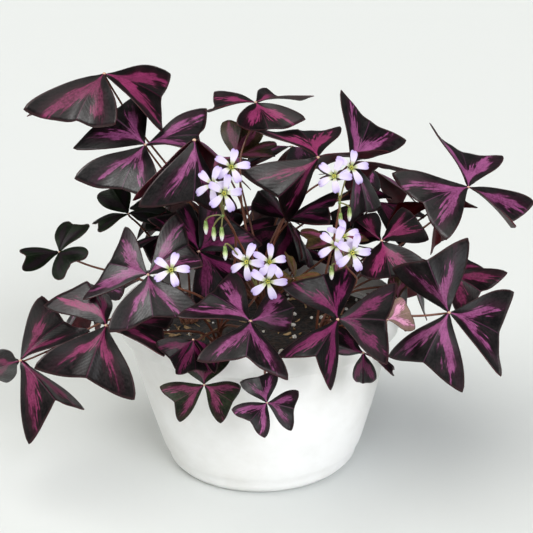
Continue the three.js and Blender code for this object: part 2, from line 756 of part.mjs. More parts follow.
function stalkPath(root, end, normal, share, bow) {
  const reach = Math.hypot(end.x, end.y);
  const straight = end.clone().sub(root).normalize();
  const arrival = normal.clone().multiplyScalar(share).addScaledVector(straight, 1 - share).normalize();
  const span = end.distanceTo(root);
  const approach = end.clone().addScaledVector(arrival, -span * STALK_APPROACH);
  if (reach > RIM_REACH && end.z < POT_HEIGHT + 2 * RIM_CLEARANCE) {
    const over = new THREE.Vector3(end.x, end.y, 0).setLength(POT_BAND_RADIUS - POT_WALL / 2);
    over.z = POT_HEIGHT + RIM_CLEARANCE;
    approach.copy(end).addScaledVector(arrival, -RIM_CLEARANCE);
    return new THREE.CatmullRomCurve3([root, over.add(bow), approach, end]);
  }
  const rise = root.clone().add(new THREE.Vector3(0, 0, Math.min(STALK_RISE, span * STALK_RISE_SHARE)));
  rise.addScaledVector(bow, STALK_BOW_LOW);
  return new THREE.CubicBezierCurve3(root, rise, approach.add(bow), end);
}

function bowTrials(seats) {
  const trials = [];
  for (const [size, seat] of STALK_BOWS.flatMap((bow) => seats.map((place) => [bow, place]))) {
    for (let i = 0; i < (size === 0 ? 1 : STALK_BOW_TURNS); i += 1) {
      const side = i % 2 === 0 ? 1 : -1;
      const turn = side * (360 / STALK_BOW_TURNS) * Math.ceil(i / 2);
      const [x, y] = polar(size, STALK_BOW_FIRST + turn);
      for (const share of STALK_ARRIVALS) {
        trials.push({ share, seat, bow: new THREE.Vector3(x, y, size * STALK_BOW_RISE) });
      }
    }
  }
  return trials;
}

function clearStalk(root, target, blockers, stalks) {
  const others = blockers.filter((piece) => piece.name !== target.name);
  const near = [...others, ...stalks];
  const seats = stalkSeats(target).filter(({ piece }) => !near.some((other) => meets(piece, other)));
  for (const { share, seat, bow } of bowTrials(seats)) {
    const path = stalkPath(root, seat.end, seat.normal, share, bow);
    const bare = obstacle(stemGeometry(path, STALK_RADIUS, STALK_SIDES, STALK_STEPS));
    const guard = obstacle(stemGeometry(path, STALK_RADIUS + STALK_GUARD, STALK_SIDES, STALK_STEPS));
    if (!others.some((piece) => meets(guard, piece)) && !meets(bare, seat.piece)) {
      return { bare, guard, piece: seat.piece };
    }
  }
  return null;
}

function crownsByDistance(target) {
  const top = target.hub ?? target.joint;
  const wanted = new THREE.Vector2(top.x, top.y).multiplyScalar(CROWN_SHARE);
  const spot = new THREE.Vector2();
  const distance = (name) => {
    spot.set(...CROWN_SPOTS[name]);
    return name === target.crown ? 0 : spot.distanceTo(wanted);
  };
  return Object.keys(CROWN_SPOTS).sort((a, b) => distance(a) - distance(b));
}

function crownRoot([x, y], count) {
  const share = (count % CROWN_SPREAD_COUNT) / CROWN_SPREAD_COUNT;
  const offset = polar(CROWN_SPREAD * Math.sqrt(share), GOLDEN_ANGLE * count);
  return new THREE.Vector3(x + offset.x, y + offset.y, SOIL_TOP + CROWN_RISE - CROWN_SINK);
}

function growStalk(target, crowns, fixed) {
  for (const home of crownsByDistance(target)) {
    const others = Object.keys(crowns).filter((name) => name !== home);
    const blockers = [...fixed, ...others.flatMap((name) => crowns[name].guards)];
    const root = crownRoot(crowns[home].spot, crowns[home].guards.length);
    const grown = clearStalk(root, target, blockers, crowns[home].guards);
    if (grown) {
      crowns[home].solids.push(grown.bare.solid);
      crowns[home].guards.push({ name: "stalk", ...grown.guard });
      Object.assign(target, grown.piece);
      return;
    }
  }
  throw new Error(`No clear way for the stalk of ${target.name}`);
}

function makeCrowns(targets, fixed) {
  const crowns = {};
  for (const [name, spot] of Object.entries(CROWN_SPOTS)) {
    const bottom = SOIL_TOP - CROWN_DEPTH + CLEAR;
    const tip = crownCylinder(spot, CROWN_RADIUS, bottom, SOIL_TOP + CROWN_RISE);
    crowns[name] = { solids: [toSolid(tip)], guards: [], spot };
  }
  for (const target of targets) {
    growStalk(target, crowns, [...targets, ...fixed]);
  }
  return crowns;
}

const potGeometry = makePot();
const soilGeometry = makeSoil();
addPiece("pot", potGeometry, COLOURS.pot);
addPiece("soil", soilGeometry, COLOURS.soil);

const potWall = { name: "pot", ...obstacle(potGeometry) };
const soilPlug = { name: "soil", ...obstacle(soilGeometry) };
const leaves = [];
for (const leaf of FRONT_LEAVES) {
  const line = VIEWER.clone().sub(new THREE.Vector3(...leaf.hub)).normalize();
  leaves.push(settledLeaf(leaf, line, [0], [potWall, ...leaves.map((other) => other.guarded)]));
}
for (const leaf of rearLeaves()) {
  const line = new THREE.Vector3(leaf.hub[0], leaf.hub[1], 0).normalize();
  leaves.push(settledLeaf(leaf, line, REAR_RISES, [potWall, ...leaves.map((other) => other.guarded)]));
}
const heads = [];
for (const head of HEADS) {
  heads.push(settledHead(head, leaves));
}
const crowns = makeCrowns([...leaves, ...heads], [potWall, soilPlug]);
for (const leaf of leaves) {
  addPiece(`leaf_${leaf.name}`, leaf.geometry, COLOURS.blade);
}
for (const head of heads) {
  addPiece(`flowers_${head.name}`, head.geometry, COLOURS.flowers);
}
for (const [name, crown] of Object.entries(crowns)) {
  addPiece(`stalks_${name}`, toGeometry(joined(crown.solids)), COLOURS.stalks);
}

export default shamrock;
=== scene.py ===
# A potted purple shamrock: a white moulded bulb pan filled with dark potting mix, clumps of thin
# stalks, leaves of three wide folded leaflets with a magenta splash, and heads of small lilac flowers.
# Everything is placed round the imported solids. Listed sizes are millimetres and degrees.
import math
import random
from types import SimpleNamespace

import bmesh
import bpy
from mathutils import Matrix, Quaternion, Vector, noise
from mathutils.bvhtree import BVHTree
from mathutils.geometry import interpolate_bezier
from mathutils.kdtree import KDTree


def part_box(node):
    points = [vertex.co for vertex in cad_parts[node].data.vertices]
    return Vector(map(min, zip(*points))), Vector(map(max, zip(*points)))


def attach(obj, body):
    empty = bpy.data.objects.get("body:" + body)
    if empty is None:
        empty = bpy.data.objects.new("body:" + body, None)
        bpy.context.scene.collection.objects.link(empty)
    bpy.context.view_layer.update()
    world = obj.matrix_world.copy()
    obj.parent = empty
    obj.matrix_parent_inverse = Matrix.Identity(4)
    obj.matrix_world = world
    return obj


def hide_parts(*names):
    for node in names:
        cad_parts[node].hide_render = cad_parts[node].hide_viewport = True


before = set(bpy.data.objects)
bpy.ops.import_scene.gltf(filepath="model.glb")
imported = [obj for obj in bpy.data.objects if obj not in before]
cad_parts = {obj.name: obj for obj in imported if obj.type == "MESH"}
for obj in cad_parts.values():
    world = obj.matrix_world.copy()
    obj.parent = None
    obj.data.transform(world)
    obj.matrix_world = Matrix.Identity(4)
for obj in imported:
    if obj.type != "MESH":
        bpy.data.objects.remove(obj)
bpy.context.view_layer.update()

# The studio: a pale floor that runs off into a pale wall, soft window light from the upper left, a fill
# from the right and a light that shows only as a sheen, seen by a camera a little above the plant.
MM = 0.001
CAMERA_SPOT = (5.4, -676, 370)
CAMERA_PITCH = 71.55
CAMERA_ROLL = -1.1
FOCAL_LENGTH = 67.5
FLOOR_HALF = 6.0
FLOOR_COLOUR = "#D7DAD8"
WALL_COLOUR = "#F0F5F2"
WALL_STRENGTH = 1.0
AIR_COLOUR = "#E9EEF0"
AIR_STRENGTH = 0.18

# The name of each light, where it comes from, how widely it spreads, its strength and its colour, and
# whether it lights what it falls on or shows only as a sheen
LIGHTS = [
    ("window", (-0.8, -0.5, 1.8), 70, 2.7, "#FFFDF8", True),
    ("room", (0.6, -1.0, 0.65), 30, 2.4, "#F9FAFF", True),
    ("glint", (-1.3, -0.35, 1.2), 35, 4.6, "#FFFFFF", False),
]


def linear(colour):
    """An sRGB hex colour as linear values with alpha."""
    channels = [int(colour[i : i + 2], 16) / 255 for i in (1, 3, 5)]
    return (*(c / 12.92 if c <= 0.04045 else ((c + 0.055) / 1.055) ** 2.4 for c in channels), 1.0)


def add(tree, kind, inputs=None, **settings):
    """Adds one shader node with its settings, and sets its inputs or links them to sockets or nodes."""
    node = tree.nodes.new("ShaderNode" + kind)
    for name, value in settings.items():
        setattr(node, name, value)
    for name, value in (inputs or {}).items():
        if isinstance(value, bpy.types.Node):
            value = next(socket for socket in value.outputs if socket.enabled)
        if isinstance(value, bpy.types.NodeSocket):
            tree.links.new(value, node.inputs[name])
        else:
            node.inputs[name].default_value = value
    return node


def new_material(name):
    """An empty node material, and the tree to fill."""
    material = bpy.data.materials.new(name)
    material.use_nodes = True
    material.node_tree.nodes.clear()
    return material, material.node_tree


def as_mesh(name, shape):
    """A bmesh as a mesh of its own."""
    mesh = bpy.data.meshes.new(name)
    shape.to_mesh(mesh)
    return mesh


def place(name, mesh):
    """A mesh as an object at the origin."""
    piece = bpy.data.objects.new(name, mesh)
    bpy.context.scene.collection.objects.link(piece)
    return piece


def floor_material():
    """Matt painted board: even and pale, with no pattern that shows."""
    material, tree = new_material("matt white board")
    board = add(tree, "BsdfPrincipled", {"Base Color": linear(FLOOR_COLOUR), "Roughness": 0.9})
    add(tree, "OutputMaterial", {"Surface": board})
    return material


def daylight(name, source, spread, strength, colour, diffuse):
    """Soft parallel light from one side of the room."""
    lamp = bpy.data.lights.new(name, "SUN")
    lamp.angle = math.radians(spread)
    lamp.energy = strength
    lamp.color = linear(colour)[:3]
    sun = bpy.data.objects.new(name, lamp)
    sun.rotation_euler = (-Vector(source)).to_track_quat("-Z", "Y").to_euler()
    sun.visible_diffuse = diffuse
    bpy.context.scene.collection.objects.link(sun)


camera = bpy.data.objects.new("camera", bpy.data.cameras.new("camera"))
camera.data.lens = FOCAL_LENGTH
camera.location = Vector(CAMERA_SPOT) * MM
pitch = Matrix.Rotation(math.radians(CAMERA_PITCH), 3, "X")
roll = Matrix.Rotation(math.radians(CAMERA_ROLL), 3, "Z")
camera.rotation_euler = (pitch @ roll).to_euler()
bpy.context.scene.collection.objects.link(camera)
bpy.context.scene.camera = camera
bpy.context.scene.view_settings.view_transform = "Standard"

board = bmesh.new()
bmesh.ops.create_grid(board, x_segments=1, y_segments=1, size=FLOOR_HALF)
board_mesh = as_mesh("floor", board)
board_mesh.materials.append(floor_material())
place("floor", board_mesh)

world = bpy.data.worlds.new("pale room")
world.use_nodes = True
world.node_tree.nodes.clear()
sky = world.node_tree
wall = add(sky, "Background", {"Color": linear(WALL_COLOUR), "Strength": WALL_STRENGTH})
air = add(sky, "Background", {"Color": linear(AIR_COLOUR), "Strength": AIR_STRENGTH})
seen = add(sky, "LightPath").outputs["Is Camera Ray"]
room = add(sky, "MixShader", {0: seen, 1: air, 2: wall})
add(sky, "OutputWorld", {"Surface": room})
bpy.context.scene.world = world
for light in LIGHTS:
    daylight(*light)

# The pot is a white polypropylene bulb pan, injection moulded: a thin tapered wall, a plain band round
# the rim over a thin groove, a faint moulded ring near the foot, and drain holes through the floor.
POT_STEPS = 144
POT_HEIGHT = 120
POT_WALL = 2.2
POT_FOOT_RADIUS = 61
POT_OUTSIDE = [(66.5, 1.6), (70, 5.5), (74.8, 18), (83.6, 50), (89.6, 76), (95.2, 101.8)]
POT_BAND_FOOT = 103
POT_BAND_RADIUS = 100
POT_LIP = 1.2
POT_INNER_LIP = 0.3
POT_GROOVE = 1.0
POT_FOOT_PAD = 3
WALL_HEIGHTS = range(8, 100, 4)
MOULD_RING_HEIGHT = 14
MOULD_RING_STEP = 0.45
MOULD_RING_RISE = (-0.5, 0.3)
DRAIN_COUNT = 5
DRAIN_RADIUS = 4
DRAIN_RING_RADIUS = 42
DRAIN_CORNERS = 32
MERGE_REACH = 0.01
CRISP_ANGLE = 40


def polar(reach, turn):
    """The two parts of a reach in a direction given in radians."""
    return reach * math.cos(turn), reach * math.sin(turn)


def wall_radius(height):
    """The pot's outer radius between the heel and the band."""
    for (near, low), (far, high) in zip(POT_OUTSIDE, POT_OUTSIDE[1:]):
        if height <= high:
            return near + (far - near) * max(0, height - low) / (high - low)
    return POT_OUTSIDE[-1][0]


def pot_profile():
    """Radius and height round the wall's section, from the middle of the foot to the inside floor."""
    ring = MOULD_RING_HEIGHT
    outside = [(wall_radius(h) - (MOULD_RING_STEP if h < ring else 0), h) for h in WALL_HEIGHTS]
    for inset, rise in zip((MOULD_RING_STEP, 0), MOULD_RING_RISE):
        outside.append((wall_radius(ring) - inset, ring + rise))
    outside.sort(key=lambda spot: spot[1])
    inside = [(wall_radius(h) - POT_WALL, h) for h in reversed(WALL_HEIGHTS)]
    neck = POT_OUTSIDE[-1][0] - POT_GROOVE
    band = [
        (neck, POT_BAND_FOOT - 2 * POT_LIP),
        (neck, POT_BAND_FOOT - POT_LIP / 2),
        (POT_BAND_RADIUS - POT_GROOVE, POT_BAND_FOOT),
        (POT_BAND_RADIUS, POT_BAND_FOOT + POT_LIP),
        (POT_BAND_RADIUS, POT_HEIGHT - POT_LIP),
        (POT_BAND_RADIUS - POT_LIP, POT_HEIGHT),
        (POT_BAND_RADIUS - POT_WALL, POT_HEIGHT - POT_INNER_LIP),
        (POT_BAND_RADIUS - POT_WALL, POT_BAND_FOOT + 3 * POT_LIP),
    ]
    heel = POT_OUTSIDE[:2]
    foot = [(0, 0), (POT_FOOT_RADIUS - POT_FOOT_PAD, 0), (POT_FOOT_RADIUS, 0)]
    return foot + heel + outside + band + inside + [(POT_FOOT_RADIUS, POT_WALL), (0, POT_WALL)]


def turned(profile, steps):
    """A closed body turned from a profile of (radius, height) round the upright axis."""
    body = bmesh.new()
    corners = [body.verts.new((radius * MM, 0, height * MM)) for radius, height in profile]
    edges = [body.edges.new(pair) for pair in zip(corners, corners[1:])]
    spun = corners + edges
    whole = {"axis": (0, 0, 1), "angle": 2 * math.pi, "use_merge": True}
    bmesh.ops.spin(body, geom=spun, cent=(0, 0, 0), steps=steps, **whole)
    bmesh.ops.remove_doubles(body, verts=body.verts, dist=MERGE_REACH * MM)
    bmesh.ops.recalc_face_normals(body, faces=body.faces)
    return body


def cone(shape, radii, depth, sides):
    """Adds an upright cone or rod round the origin, and gives its corners."""
    low, high = (radius * MM for radius in radii)
    ends = {"cap_ends": True, "radius1": low, "radius2": high, "depth": depth * MM}
    return bmesh.ops.create_cone(shape, segments=sides, **ends)["verts"]


def finished(piece):
    """The piece with its modifiers worked into its mesh."""
    graph = bpy.context.evaluated_depsgraph_get()
    mesh = bpy.data.meshes.new_from_object(piece.evaluated_get(graph))
    piece.modifiers.clear()
    piece.data = mesh
    return piece


def smooth(mesh):
    """Shades a mesh smooth."""
    mesh.polygons.foreach_set("use_smooth", [True] * len(mesh.polygons))


def grade(ramp, *stops):
    """Gives a colour ramp its stops, each a place and a hex colour, with the two ends first."""
    held = ramp.color_ramp.elements
    for i, (position, colour) in enumerate(stops):
        stop = held[i] if i < 2 else held.new(position)
        stop.position = position
        stop.color = linear(colour)


def clouds(tree, size, detail, *stops):
    """A noise with patches of a real size, and a colour that follows it through the stops."""
    spot = add(tree, "TexCoord").outputs["Object"]
    noisy = add(tree, "TexNoise", {"Vector": spot, "Scale": 1 / (size * MM), "Detail": detail})
    tint = add(tree, "ValToRGB", {"Fac": noisy})
    grade(tint, *stops)
    return noisy, tint


def pot_material():
    """Moulded polypropylene: milky white and softly glossy, with a fine grain and faint dust."""
    material, tree = new_material("moulded polypropylene white")
    dust, tint = clouds(tree, 60, 5.0, (0.32, "#E9E8E4"), (0.6, "#F6F6F4"))
    dust.inputs["Roughness"].default_value = 0.6
    gloss = add(tree, "MapRange", {"Value": dust, "To Min": 0.46, "To Max": 0.34})
    grain, _ = clouds(tree, 1.2, 2.0)
    relief = add(tree, "Bump", {"Height": grain, "Strength": 0.08, "Distance": 0.2 * MM})
    glow = {"Subsurface Weight": 0.12, "Subsurface Radius": (2.5, 2.5, 2.4), "Subsurface Scale": MM}
    skin = {"Base Color": tint, "Roughness": gloss, "Normal": relief, "IOR": 1.49}
    shell = add(tree, "BsdfPrincipled", {**skin, **glow})
    add(tree, "OutputMaterial", {"Surface": shell})
    return material


pot = place("pot_shell", as_mesh("pot_shell", turned(pot_profile(), POT_STEPS)))
drill = bmesh.new()
for k in range(DRAIN_COUNT):
    centre = Vector((*polar(DRAIN_RING_RADIUS, 2 * math.pi * k / DRAIN_COUNT), 0)) * MM
    rod = cone(drill, (DRAIN_RADIUS, DRAIN_RADIUS), 4 * POT_WALL, DRAIN_CORNERS)
    bmesh.ops.translate(drill, vec=centre, verts=rod)
drill_piece = place("drill", as_mesh("drill", drill))
holes = pot.modifiers.new("drain holes", "BOOLEAN")
holes.object = drill_piece
holes.operation = "DIFFERENCE"
finished(pot)
bpy.data.objects.remove(drill_piece)
smooth(pot.data)
edge_split = pot.modifiers.new("crisp lips", "EDGE_SPLIT")
edge_split.split_angle = math.radians(CRISP_ANGLE)
finished(pot)
pot.data.materials.append(pot_material())
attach(pot, "root")
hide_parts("pot")

# The soil is a dark peat mix pressed into the pan, uneven on top, with white perlite grains and tan
# chips of bark lying half sunk in it.
SOIL_TOP = 100
SOIL_STEPS = 120
SOIL_GAP = 0.3
SOIL_RING_PITCH = 2.5
SOIL_SWELL = 3.5
SOIL_CLODS = [(14, 1.6), (5, 0.9), (2.2, 0.5)]
SCATTER_EDGE = 4
SCATTER_SEED = 11
PERLITE_COUNT = 80
PERLITE_SIZES = (0.7, 1.7)
PERLITE_LUMPS = 0.45
PERLITE_LUMP_PITCH = 0.9
PERLITE_VARIETY = 40
PERLITE_RISE = 0.3
BARK_COUNT = 170
BARK_SIZES = ((2.5, 7), (1, 2.6), (0.5, 1.1))
BARK_BREAKS = (0.7, 0.4, 0.2)
BARK_RISE = 0.4


def soil_height(x, y):
    """The top of the soil in millimetres at a place in millimetres."""
    edge = wall_radius(SOIL_TOP) - POT_WALL
    rise = SOIL_SWELL * (1 - (math.hypot(x, y) / edge) ** 2)
    for size, depth in SOIL_CLODS:
        rise += depth * noise.noise(Vector((x / size, y / size, size)))
    return SOIL_TOP + rise


def soil_profile():
    """Radius and height from the middle of the plug's bottom, up its side and in over its top."""
    bottom = POT_WALL + SOIL_GAP
    side = [(wall_radius(h) - bottom, h) for h in WALL_HEIGHTS]
    edge = wall_radius(SOIL_TOP) - bottom
    rings = [(edge - SOIL_RING_PITCH * k, SOIL_TOP) for k in range(int(edge / SOIL_RING_PITCH) + 1)]
    return [(0, bottom), (POT_FOOT_RADIUS, bottom)] + side + rings + [(0, SOIL_TOP)]


def peat_material():
    """Moist peat: near black brown crumbs, matt, with lighter fibres."""
    material, tree = new_material("moist peat")
    _, tint = clouds(tree, 4, 6.0, (0.4, "#0D0907"), (0.72, "#3A2A1F"))
    spot = add(tree, "TexCoord").outputs["Object"]
    crumbs = add(tree, "TexVoronoi", {"Vector": spot, "Scale": 1 / (2.6 * MM)})
    relief = add(tree, "Bump", {"Height": crumbs, "Strength": 0.9, "Distance": 1.2 * MM})
    peat = add(tree, "BsdfPrincipled", {"Base Color": tint, "Roughness": 0.95, "Normal": relief})
    add(tree, "OutputMaterial", {"Surface": peat})
    return material


def grain_material(name, dark, pale, roughness):
    """A dry grain whose colour drifts between two tones from piece to piece."""
    material, tree = new_material(name)
    _, tint = clouds(tree, 5, 3.0, (0.35, dark), (0.65, pale))
    pores, _ = clouds(tree, 0.7, 2.0)
    relief = add(tree, "Bump", {"Height": pores, "Strength": 0.5, "Distance": 0.3 * MM})
    grain = add(tree, "BsdfPrincipled", {"Base Color": tint, "Roughness": roughness, "Normal": relief})
    add(tree, "OutputMaterial", {"Surface": grain})
    return material


def scattered(draw, rise):
    """A random place on the soil and how its grain is turned."""
    edge = wall_radius(SOIL_TOP) - POT_WALL - SCATTER_EDGE
    x, y = polar(edge * math.sqrt(draw.random()), 2 * math.pi * draw.random())
    spin = Quaternion([draw.uniform(-1, 1) for _ in range(3)], draw.uniform(0, math.pi))
    return Matrix.Translation(Vector((x, y, soil_height(x, y) + rise)) * MM) @ spin.to_matrix().to_4x4()


def perlite_grains(draw):
    """White puffed grains: small lumps, each pushed out of round."""
    grains = bmesh.new()
    for _ in range(PERLITE_COUNT):
        size = draw.uniform(*PERLITE_SIZES)
        made = bmesh.ops.create_icosphere(grains, subdivisions=2, radius=size * MM)
        own = Vector((size * PERLITE_VARIETY, 0, 0))
        for vert in made["verts"]:
            vert.co *= 1 + PERLITE_LUMPS * noise.noise(vert.co / MM * PERLITE_LUMP_PITCH + own)
        bmesh.ops.transform(grains, matrix=scattered(draw, size * PERLITE_RISE), verts=made["verts"])
    return grains


def bark_chips(draw):
    """Tan splinters of bark: flat slips with broken ends."""
    chips = bmesh.new()
    for _ in range(BARK_COUNT):
        made = bmesh.ops.create_cube(chips, size=MM)
        size = Vector([draw.uniform(*limits) for limits in BARK_SIZES])
        bmesh.ops.scale(chips, vec=size, verts=made["verts"])
        for vert in made["verts"]:
            vert.co += Vector([draw.uniform(-most, most) for most in BARK_BREAKS]) * MM
        bmesh.ops.transform(chips, matrix=scattered(draw, BARK_RISE), verts=made["verts"])
    return chips


plug = turned(soil_profile(), SOIL_STEPS)
for vert in plug.verts:
    if vert.co.z > (SOIL_TOP - SOIL_GAP) * MM:
        vert.co.z = soil_height(vert.co.x / MM, vert.co.y / MM) * MM
soil_mesh = as_mesh("peat_plug", plug)
smooth(soil_mesh)
soil_mesh.materials.append(peat_material())
soil = place("peat_plug", soil_mesh)
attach(soil, "root")
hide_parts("soil")
scatter = random.Random(SCATTER_SEED)
perlite_look = grain_material("expanded perlite", "#DAD3C2", "#FFFDF6", 0.8)
bark_look = grain_material("dry pine bark", "#5A3A20", "#C9A877", 0.9)
for name, grains, look in (
    ("perlite_grains", perlite_grains(scatter), perlite_look),
    ("bark_chips", bark_chips(scatter), bark_look),
):
    mesh = as_mesh(name, grains)
    mesh.materials.append(look)
    piece = place(name, mesh)
    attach(piece, "root")

# The leaves are thin soft blades of three leaflets on one hub. Each leaflet is a wide triangle with
# rounded corners, folded down along its rib, near black with a magenta splash that forks from the hub
# towards both corners, satin above and wine red below.
LEAFLET_ROWS = 16
LEAFLET_COLUMNS = 28
BLADE_THICKNESS = 0.45
HUB_SHARE = 0.02
RIB_BOW = 0.06
FOLD_START_SHARE = 0.12
CREASE_SHARE = 0.01
RIDGE_FOLD = 40
RIDGE_SHARE = 0.5
RIDGE_MOST = 0.42
RIDGE_FADE = 1.5
SIDE_ANGLE = 43
SIDE_LEAN = -1.5
SIDE_BULGE = 17.6
END_SLOPE = 0.08
END_CURVE = 0.385
CORNER_START = 0.94
CORNER_PULL = 0.015
CORNER_TURN = 0.9
LOBE_START = 0.55
LOBE_PULL = 0.34
LOBE_TURN = 11
LOBE_RUN = 0.45
SETTLE_STEPS = 12

# The waves along the rib and along the margin: how high in shares of the rib, how many turns, and how
# far a leaf's own seed shifts them
RIB_WAVE = (0.02, 1.1, 1)
MARGIN_WAVE = (0.014, 1.6, 3)

# Between what limits each leaflet draws its marks: its seed, how wide the splash opens, where it ends
MARK_SEED = 5
MARK_LIMITS = ((0, 1), (0.62, 0.82), (0.3, 0.45))

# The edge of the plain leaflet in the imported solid: how far out in shares of the rib, and the angle
# beside it. Its start at the hub is in millimetres.
SOLID_EDGE = [(1.17, 23), (1.43, 41.5), (0.8, 46.5)]
HUB_EDGE = (1.7, 43)

# Where each hub is, how long a rib is, and for each leaflet which way its rib points (round, up), how
# far the blade is rolled about it and folded
FRONT_LEAVES = {
    "top_left": ((-102, 8, 282), 42, [(10, -25, 25, 0), (150, -25, 0, 10), (-120, -40, -5, -15)]),
    "upper_left": ((-74, -16, 237), 37, [(-5, 10, 15, -10), (145, 30, -35, 20), (-120, -40, -5, -15)]),
    "inner_left_top": ((-38, -58, 248), 37, [(70, -25, -20, 60), (140, -40, -10, 10), (-95, -70, -35, 35)]),
    "crown_top": ((0, 20, 258), 29, [(40, 0, 0, -10), (175, -5, -5, -10), (-70, -30, 0, -20)]),
    "centre_top": ((41, -25, 228), 38, [(60, -10, -15, 5), (110, 20, 5, 0), (-160, -40, -80, 45)]),
    "centre": ((21, -16, 183), 31, [(-15, 20, 10, 0), (145, 35, -50, 70), (-50, -50, -45, 0)]),
    "centre_low_left": ((20, 10, 174), 30, [(50, 10, 0, 30), (180, -55, -90, 55), (-50, -65, 0, 30)]),
    "top_right": ((66, 8, 217), 36, [(55, 45, 60, -10), (-35, -70, -10, 0), (50, -15, -20, 20)]),
    "far_right_top": ((147, 0, 200), 38, [(90, 30, 30, -15), (-155, -10, -30, 0), (-25, -35, 0, -20)]),
    "right_mid": ((83, -35, 173), 29, [(20, 30, 50, 55), (130, 20, -55, 60), (-80, -40, 5, -30)]),
    "right_low": ((120, -88, 141), 36, [(0, -25, 40, -10), (135, 60, -60, 35), (-140, -50, -25, 35)]),
    "right_behind": ((133, -10, 140), 29, [(-45, -15, 25, 0), (60, 10, 0, 30), (155, 20, 0, 30)]),
    "front_right": ((48, -112, 147), 30, [(-20, 5, 45, 5), (115, 50, -15, 25), (-125, -30, -35, 45)]),
    "rim_right": ((64, -108, 123), 20, [(-15, -25, -15, 0), (155, 10, -75, 55), (-95, -85, 5, 60)]),
    "young_right": ((83, -74, 131), 18, [(30, 5, 55, 20), (120, 20, 0, 30), (-150, -30, 0, 30)]),
    "right_olive": ((96, -26, 127), 18, [(75, 50, -40, 0), (-175, 20, 0, 25), (-20, -50, 0, 30)]),
    "front_left": ((-5, -120, 150), 31, [(30, 5, 65, 60), (150, 25, -15, 0), (-95, -20, -15, 15)]),
    "left_mid": ((-69, -80, 167), 32, [(5, 35, 25, -10), (150, 5, -40, 0), (-80, -35, 15, 0)]),
    "inner_left": ((-40, -32, 167), 31, [(20, 40, 65, 10), (150, 55, 5, 5), (-40, -38, 15, 10)]),
    "far_left_dark": ((-139, -10, 161), 23, [(55, 45, -5, 0), (-160, 0, -60, 55), (-60, -5, 35, 5)]),
    "left_dark": ((-90, -5, 187), 22, [(-10, 0, 10, 0), (145, 50, -35, 35), (-160, -10, 0, 5)]),
    "inner_dark": ((-66, 5, 188), 20, [(35, 25, 15, -5), (150, 10, 0, 20), (-90, -20, 0, 20)]),
    "low_left": ((-96, -92, 138), 36, [(0, -5, 0, 5), (120, 35, 5, 45), (-115, -45, -25, 0)]),
    "far_left": ((-160, -62, 102), 39, [(35, 30, 5, -10), (160, -20, -75, 70), (-40, -30, 15, 50)]),
    "pot_left": ((-34, -122, 110), 21, [(0, -35, 55, 35), (90, 35, -5, 20), (-155, -20, -60, 40)]),
    "pot_front": ((4, -128, 100), 17, [(0, -15, 50, 15), (115, 50, -20, 25), (-130, -20, -35, 5)]),
    "rim_left": ((-41, -103, 132), 18, [(15, -35, 10, 30), (-165, -35, -70, 30), (-80, -65, 0, 35)]),
    "young_centre": ((23, -62, 157), 15, [(-25, 5, 10, 0), (100, 55, 60, 0), (160, -15, -75, 45)]),
    "olive_centre": ((53, -40, 174), 21, [(60, 10, 0, 30), (-170, 10, -10, 0), (-60, -30, 0, 30)]),
    "crown_left": ((-16, 22, 219), 27, [(-5, 15, 5, 0), (65, 55, 25, 35), (170, -10, 0, 30)]),
    "right_under": ((126, 10, 184), 27, [(-30, -80, -5, 0), (60, 10, 0, 30), (160, 0, 0, 30)]),
    "deep_left": ((-24, 30, 158), 31, [(-15, 5, 30, 10), (105, 30, 10, 20), (-150, -10, -30, 15)]),
    "deep_right": ((34, 40, 146), 24, [(20, 5, 20, 10), (150, 15, -30, 20), (-80, -5, 5, 20)]),
    "right_blue": ((85, 45, 179), 34, [(-25, -15, 15, 25), (95, 10, 0, 30), (-165, -10, 0, 30)]),
    "deep_far_left": ((-62, 12, 166), 26, [(-20, -5, 10, 20), (100, 5, 5, 20), (-140, -10, -10, 20)]),
}

# The tiers behind: how many leaves, the first one's direction and the sweep to the last, how far out
# and how high they stand, how far they lean outwards and how long a rib is
REAR_TIERS = {
    "rear_low": (4, 20, 140, 120, 124, 58, 36),
    "rear_middle": (3, 50, 80, 98, 170, 42, 35),
    "rear_top": (2, 65, 50, 56, 208, 24, 32),
}
GOLDEN_ANGLE = 137.5
REAR_SCATTER = 10
REAR_STAGGER = 12
REAR_FOLD = 25
REAR_DROOP = 12
REAR_TILT_SHARE = 0.8

